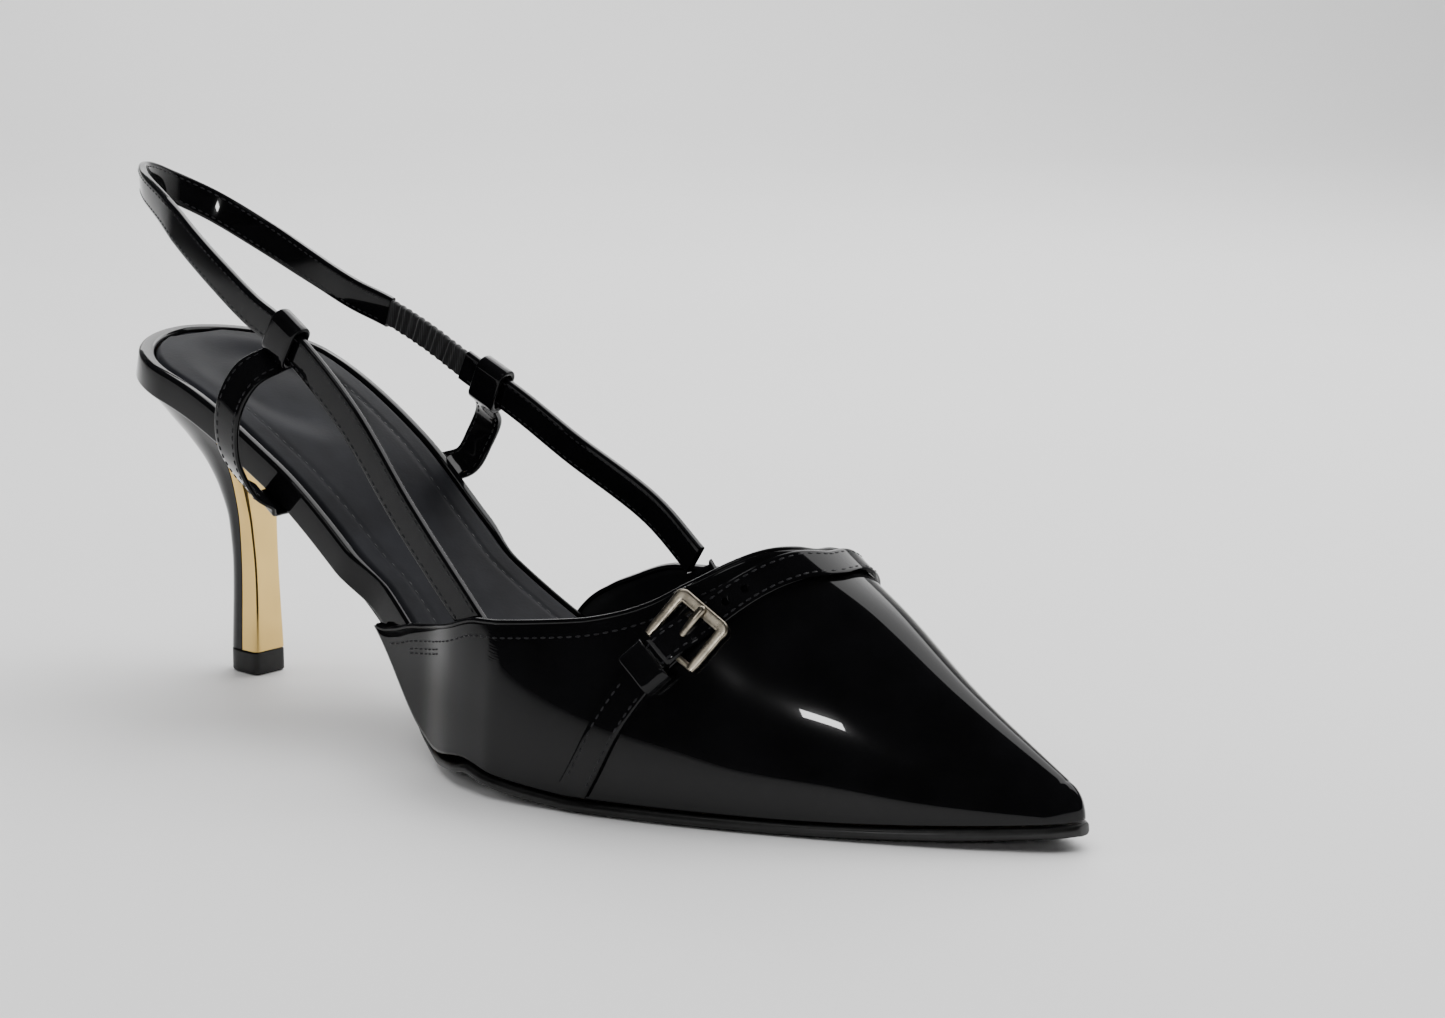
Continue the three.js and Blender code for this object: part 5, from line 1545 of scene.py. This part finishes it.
class PUMP_OT_stage(bpy.types.Operator):
    """A plain pale floor, soft lights and the camera"""

    bl_idname = "pump.stage"
    bl_label = "Stage"

    def execute(self, context):
        bm = bmesh.new()
        bmesh.ops.create_grid(bm, x_segments=8, y_segments=60, size=0.5)
        heading = math.radians(FLOOR_HEADING)
        for vertex in bm.verts:
            run = (vertex.co.y + 0.5) * FLOOR_LENGTH
            turn = clamp((run - BEND_START) / BEND_RADIUS, 0, math.pi / 2)
            rest = max(run - BEND_START - BEND_RADIUS * math.pi / 2, 0)
            forward = min(run, BEND_START) + BEND_RADIUS * math.sin(turn) - FLOOR_BEHIND
            height = BEND_RADIUS * (1 - math.cos(turn)) + rest
            side = vertex.co.x * FLOOR_WIDTH
            vertex.co = vec(
                side * math.cos(heading) - forward * math.sin(heading),
                side * math.sin(heading) + forward * math.cos(heading),
                height - FLOOR_DROP,
            )
        mesh = bpy.data.meshes.new("floor")
        bm.to_mesh(mesh)
        bm.free()
        mesh.shade_smooth()
        floor = bpy.data.objects.new("floor", mesh)
        bpy.context.scene.collection.objects.link(floor)
        material, tree, shader, vector = new_material("pale_floor", 0.6, specular=0.3)
        tint(tree, shader, noise(tree, vector, 3, 2.0), settings().floor_colour, 0.015)
        bump(tree, shader, noise(tree, vector, 900, 3.0), 0.05, 0.00005)
        mesh.materials.append(material)

        world = bpy.data.worlds.new("dim_room")
        world.use_nodes = True
        background = world.node_tree.nodes["Background"]
        background.inputs["Color"].default_value = (0.035, 0.035, 0.037, 1)
        background.inputs["Strength"].default_value = 1.0
        bpy.context.scene.world = world
        for name, at, aim, width, height, share, seen in LIGHTS:
            area_light(name, at, aim, width, height, share * settings().key_power, seen)

        azimuth, elevation, roll = [math.radians(angle) for angle in CAMERA_ANGLES]
        reach = math.cos(elevation)
        forward = vec(-math.sin(azimuth) * reach, math.cos(azimuth) * reach, -math.sin(elevation))
        level = vec(math.cos(azimuth), math.sin(azimuth), 0)
        above = level.cross(forward)
        right = level * math.cos(roll) + above * math.sin(roll)
        up = above * math.cos(roll) - level * math.sin(roll)
        lens = bpy.data.cameras.new("camera")
        lens.sensor_width = SENSOR_WIDTH
        lens.lens = FOCAL_RATIO * SENSOR_WIDTH
        lens.clip_start = 0.01
        camera = bpy.data.objects.new("camera", lens)
        eye = placed(vec(*CAMERA_AIM) - forward * CAMERA_DISTANCE)
        camera.matrix_world = Matrix.Translation(eye) @ Matrix((right, up, -forward)).transposed().to_4x4()
        bpy.context.scene.collection.objects.link(camera)
        bpy.context.scene.camera = camera
        return {"FINISHED"}


OPERATORS = (
    PUMP_OT_stage,
    PUMP_OT_upper,
    PUMP_OT_footbed,
    PUMP_OT_outsole,
    PUMP_OT_heel,
    PUMP_OT_vamp_strap,
    PUMP_OT_buckle,
    PUMP_OT_sling,
    PUMP_OT_hidden,
)


class PUMP_PT_panel(bpy.types.Panel):
    """Lists what builds the pump"""

    bl_label = "Slingback pump"
    bl_idname = "PUMP_PT_panel"
    bl_space_type = "VIEW_3D"
    bl_region_type = "UI"
    bl_category = "Pump"

    def draw(self, context):
        layout = self.layout
        for name in PumpSettings.__annotations__:
            layout.prop(context.scene.pump_settings, name)
        for operator in OPERATORS:
            layout.operator(operator.bl_idname)


CLASSES = (PumpSettings, *OPERATORS, PUMP_PT_panel)


def register():
    for cls in CLASSES:
        bpy.utils.register_class(cls)
    bpy.types.Scene.pump_settings = PointerProperty(type=PumpSettings)


def unregister():
    del bpy.types.Scene.pump_settings
    for cls in reversed(CLASSES):
        bpy.utils.unregister_class(cls)


def main():
    register()
    for operator in OPERATORS:
        group, name = operator.bl_idname.split(".")
        getattr(getattr(bpy.ops, group), name)()


if __name__ == "__main__":
    main()
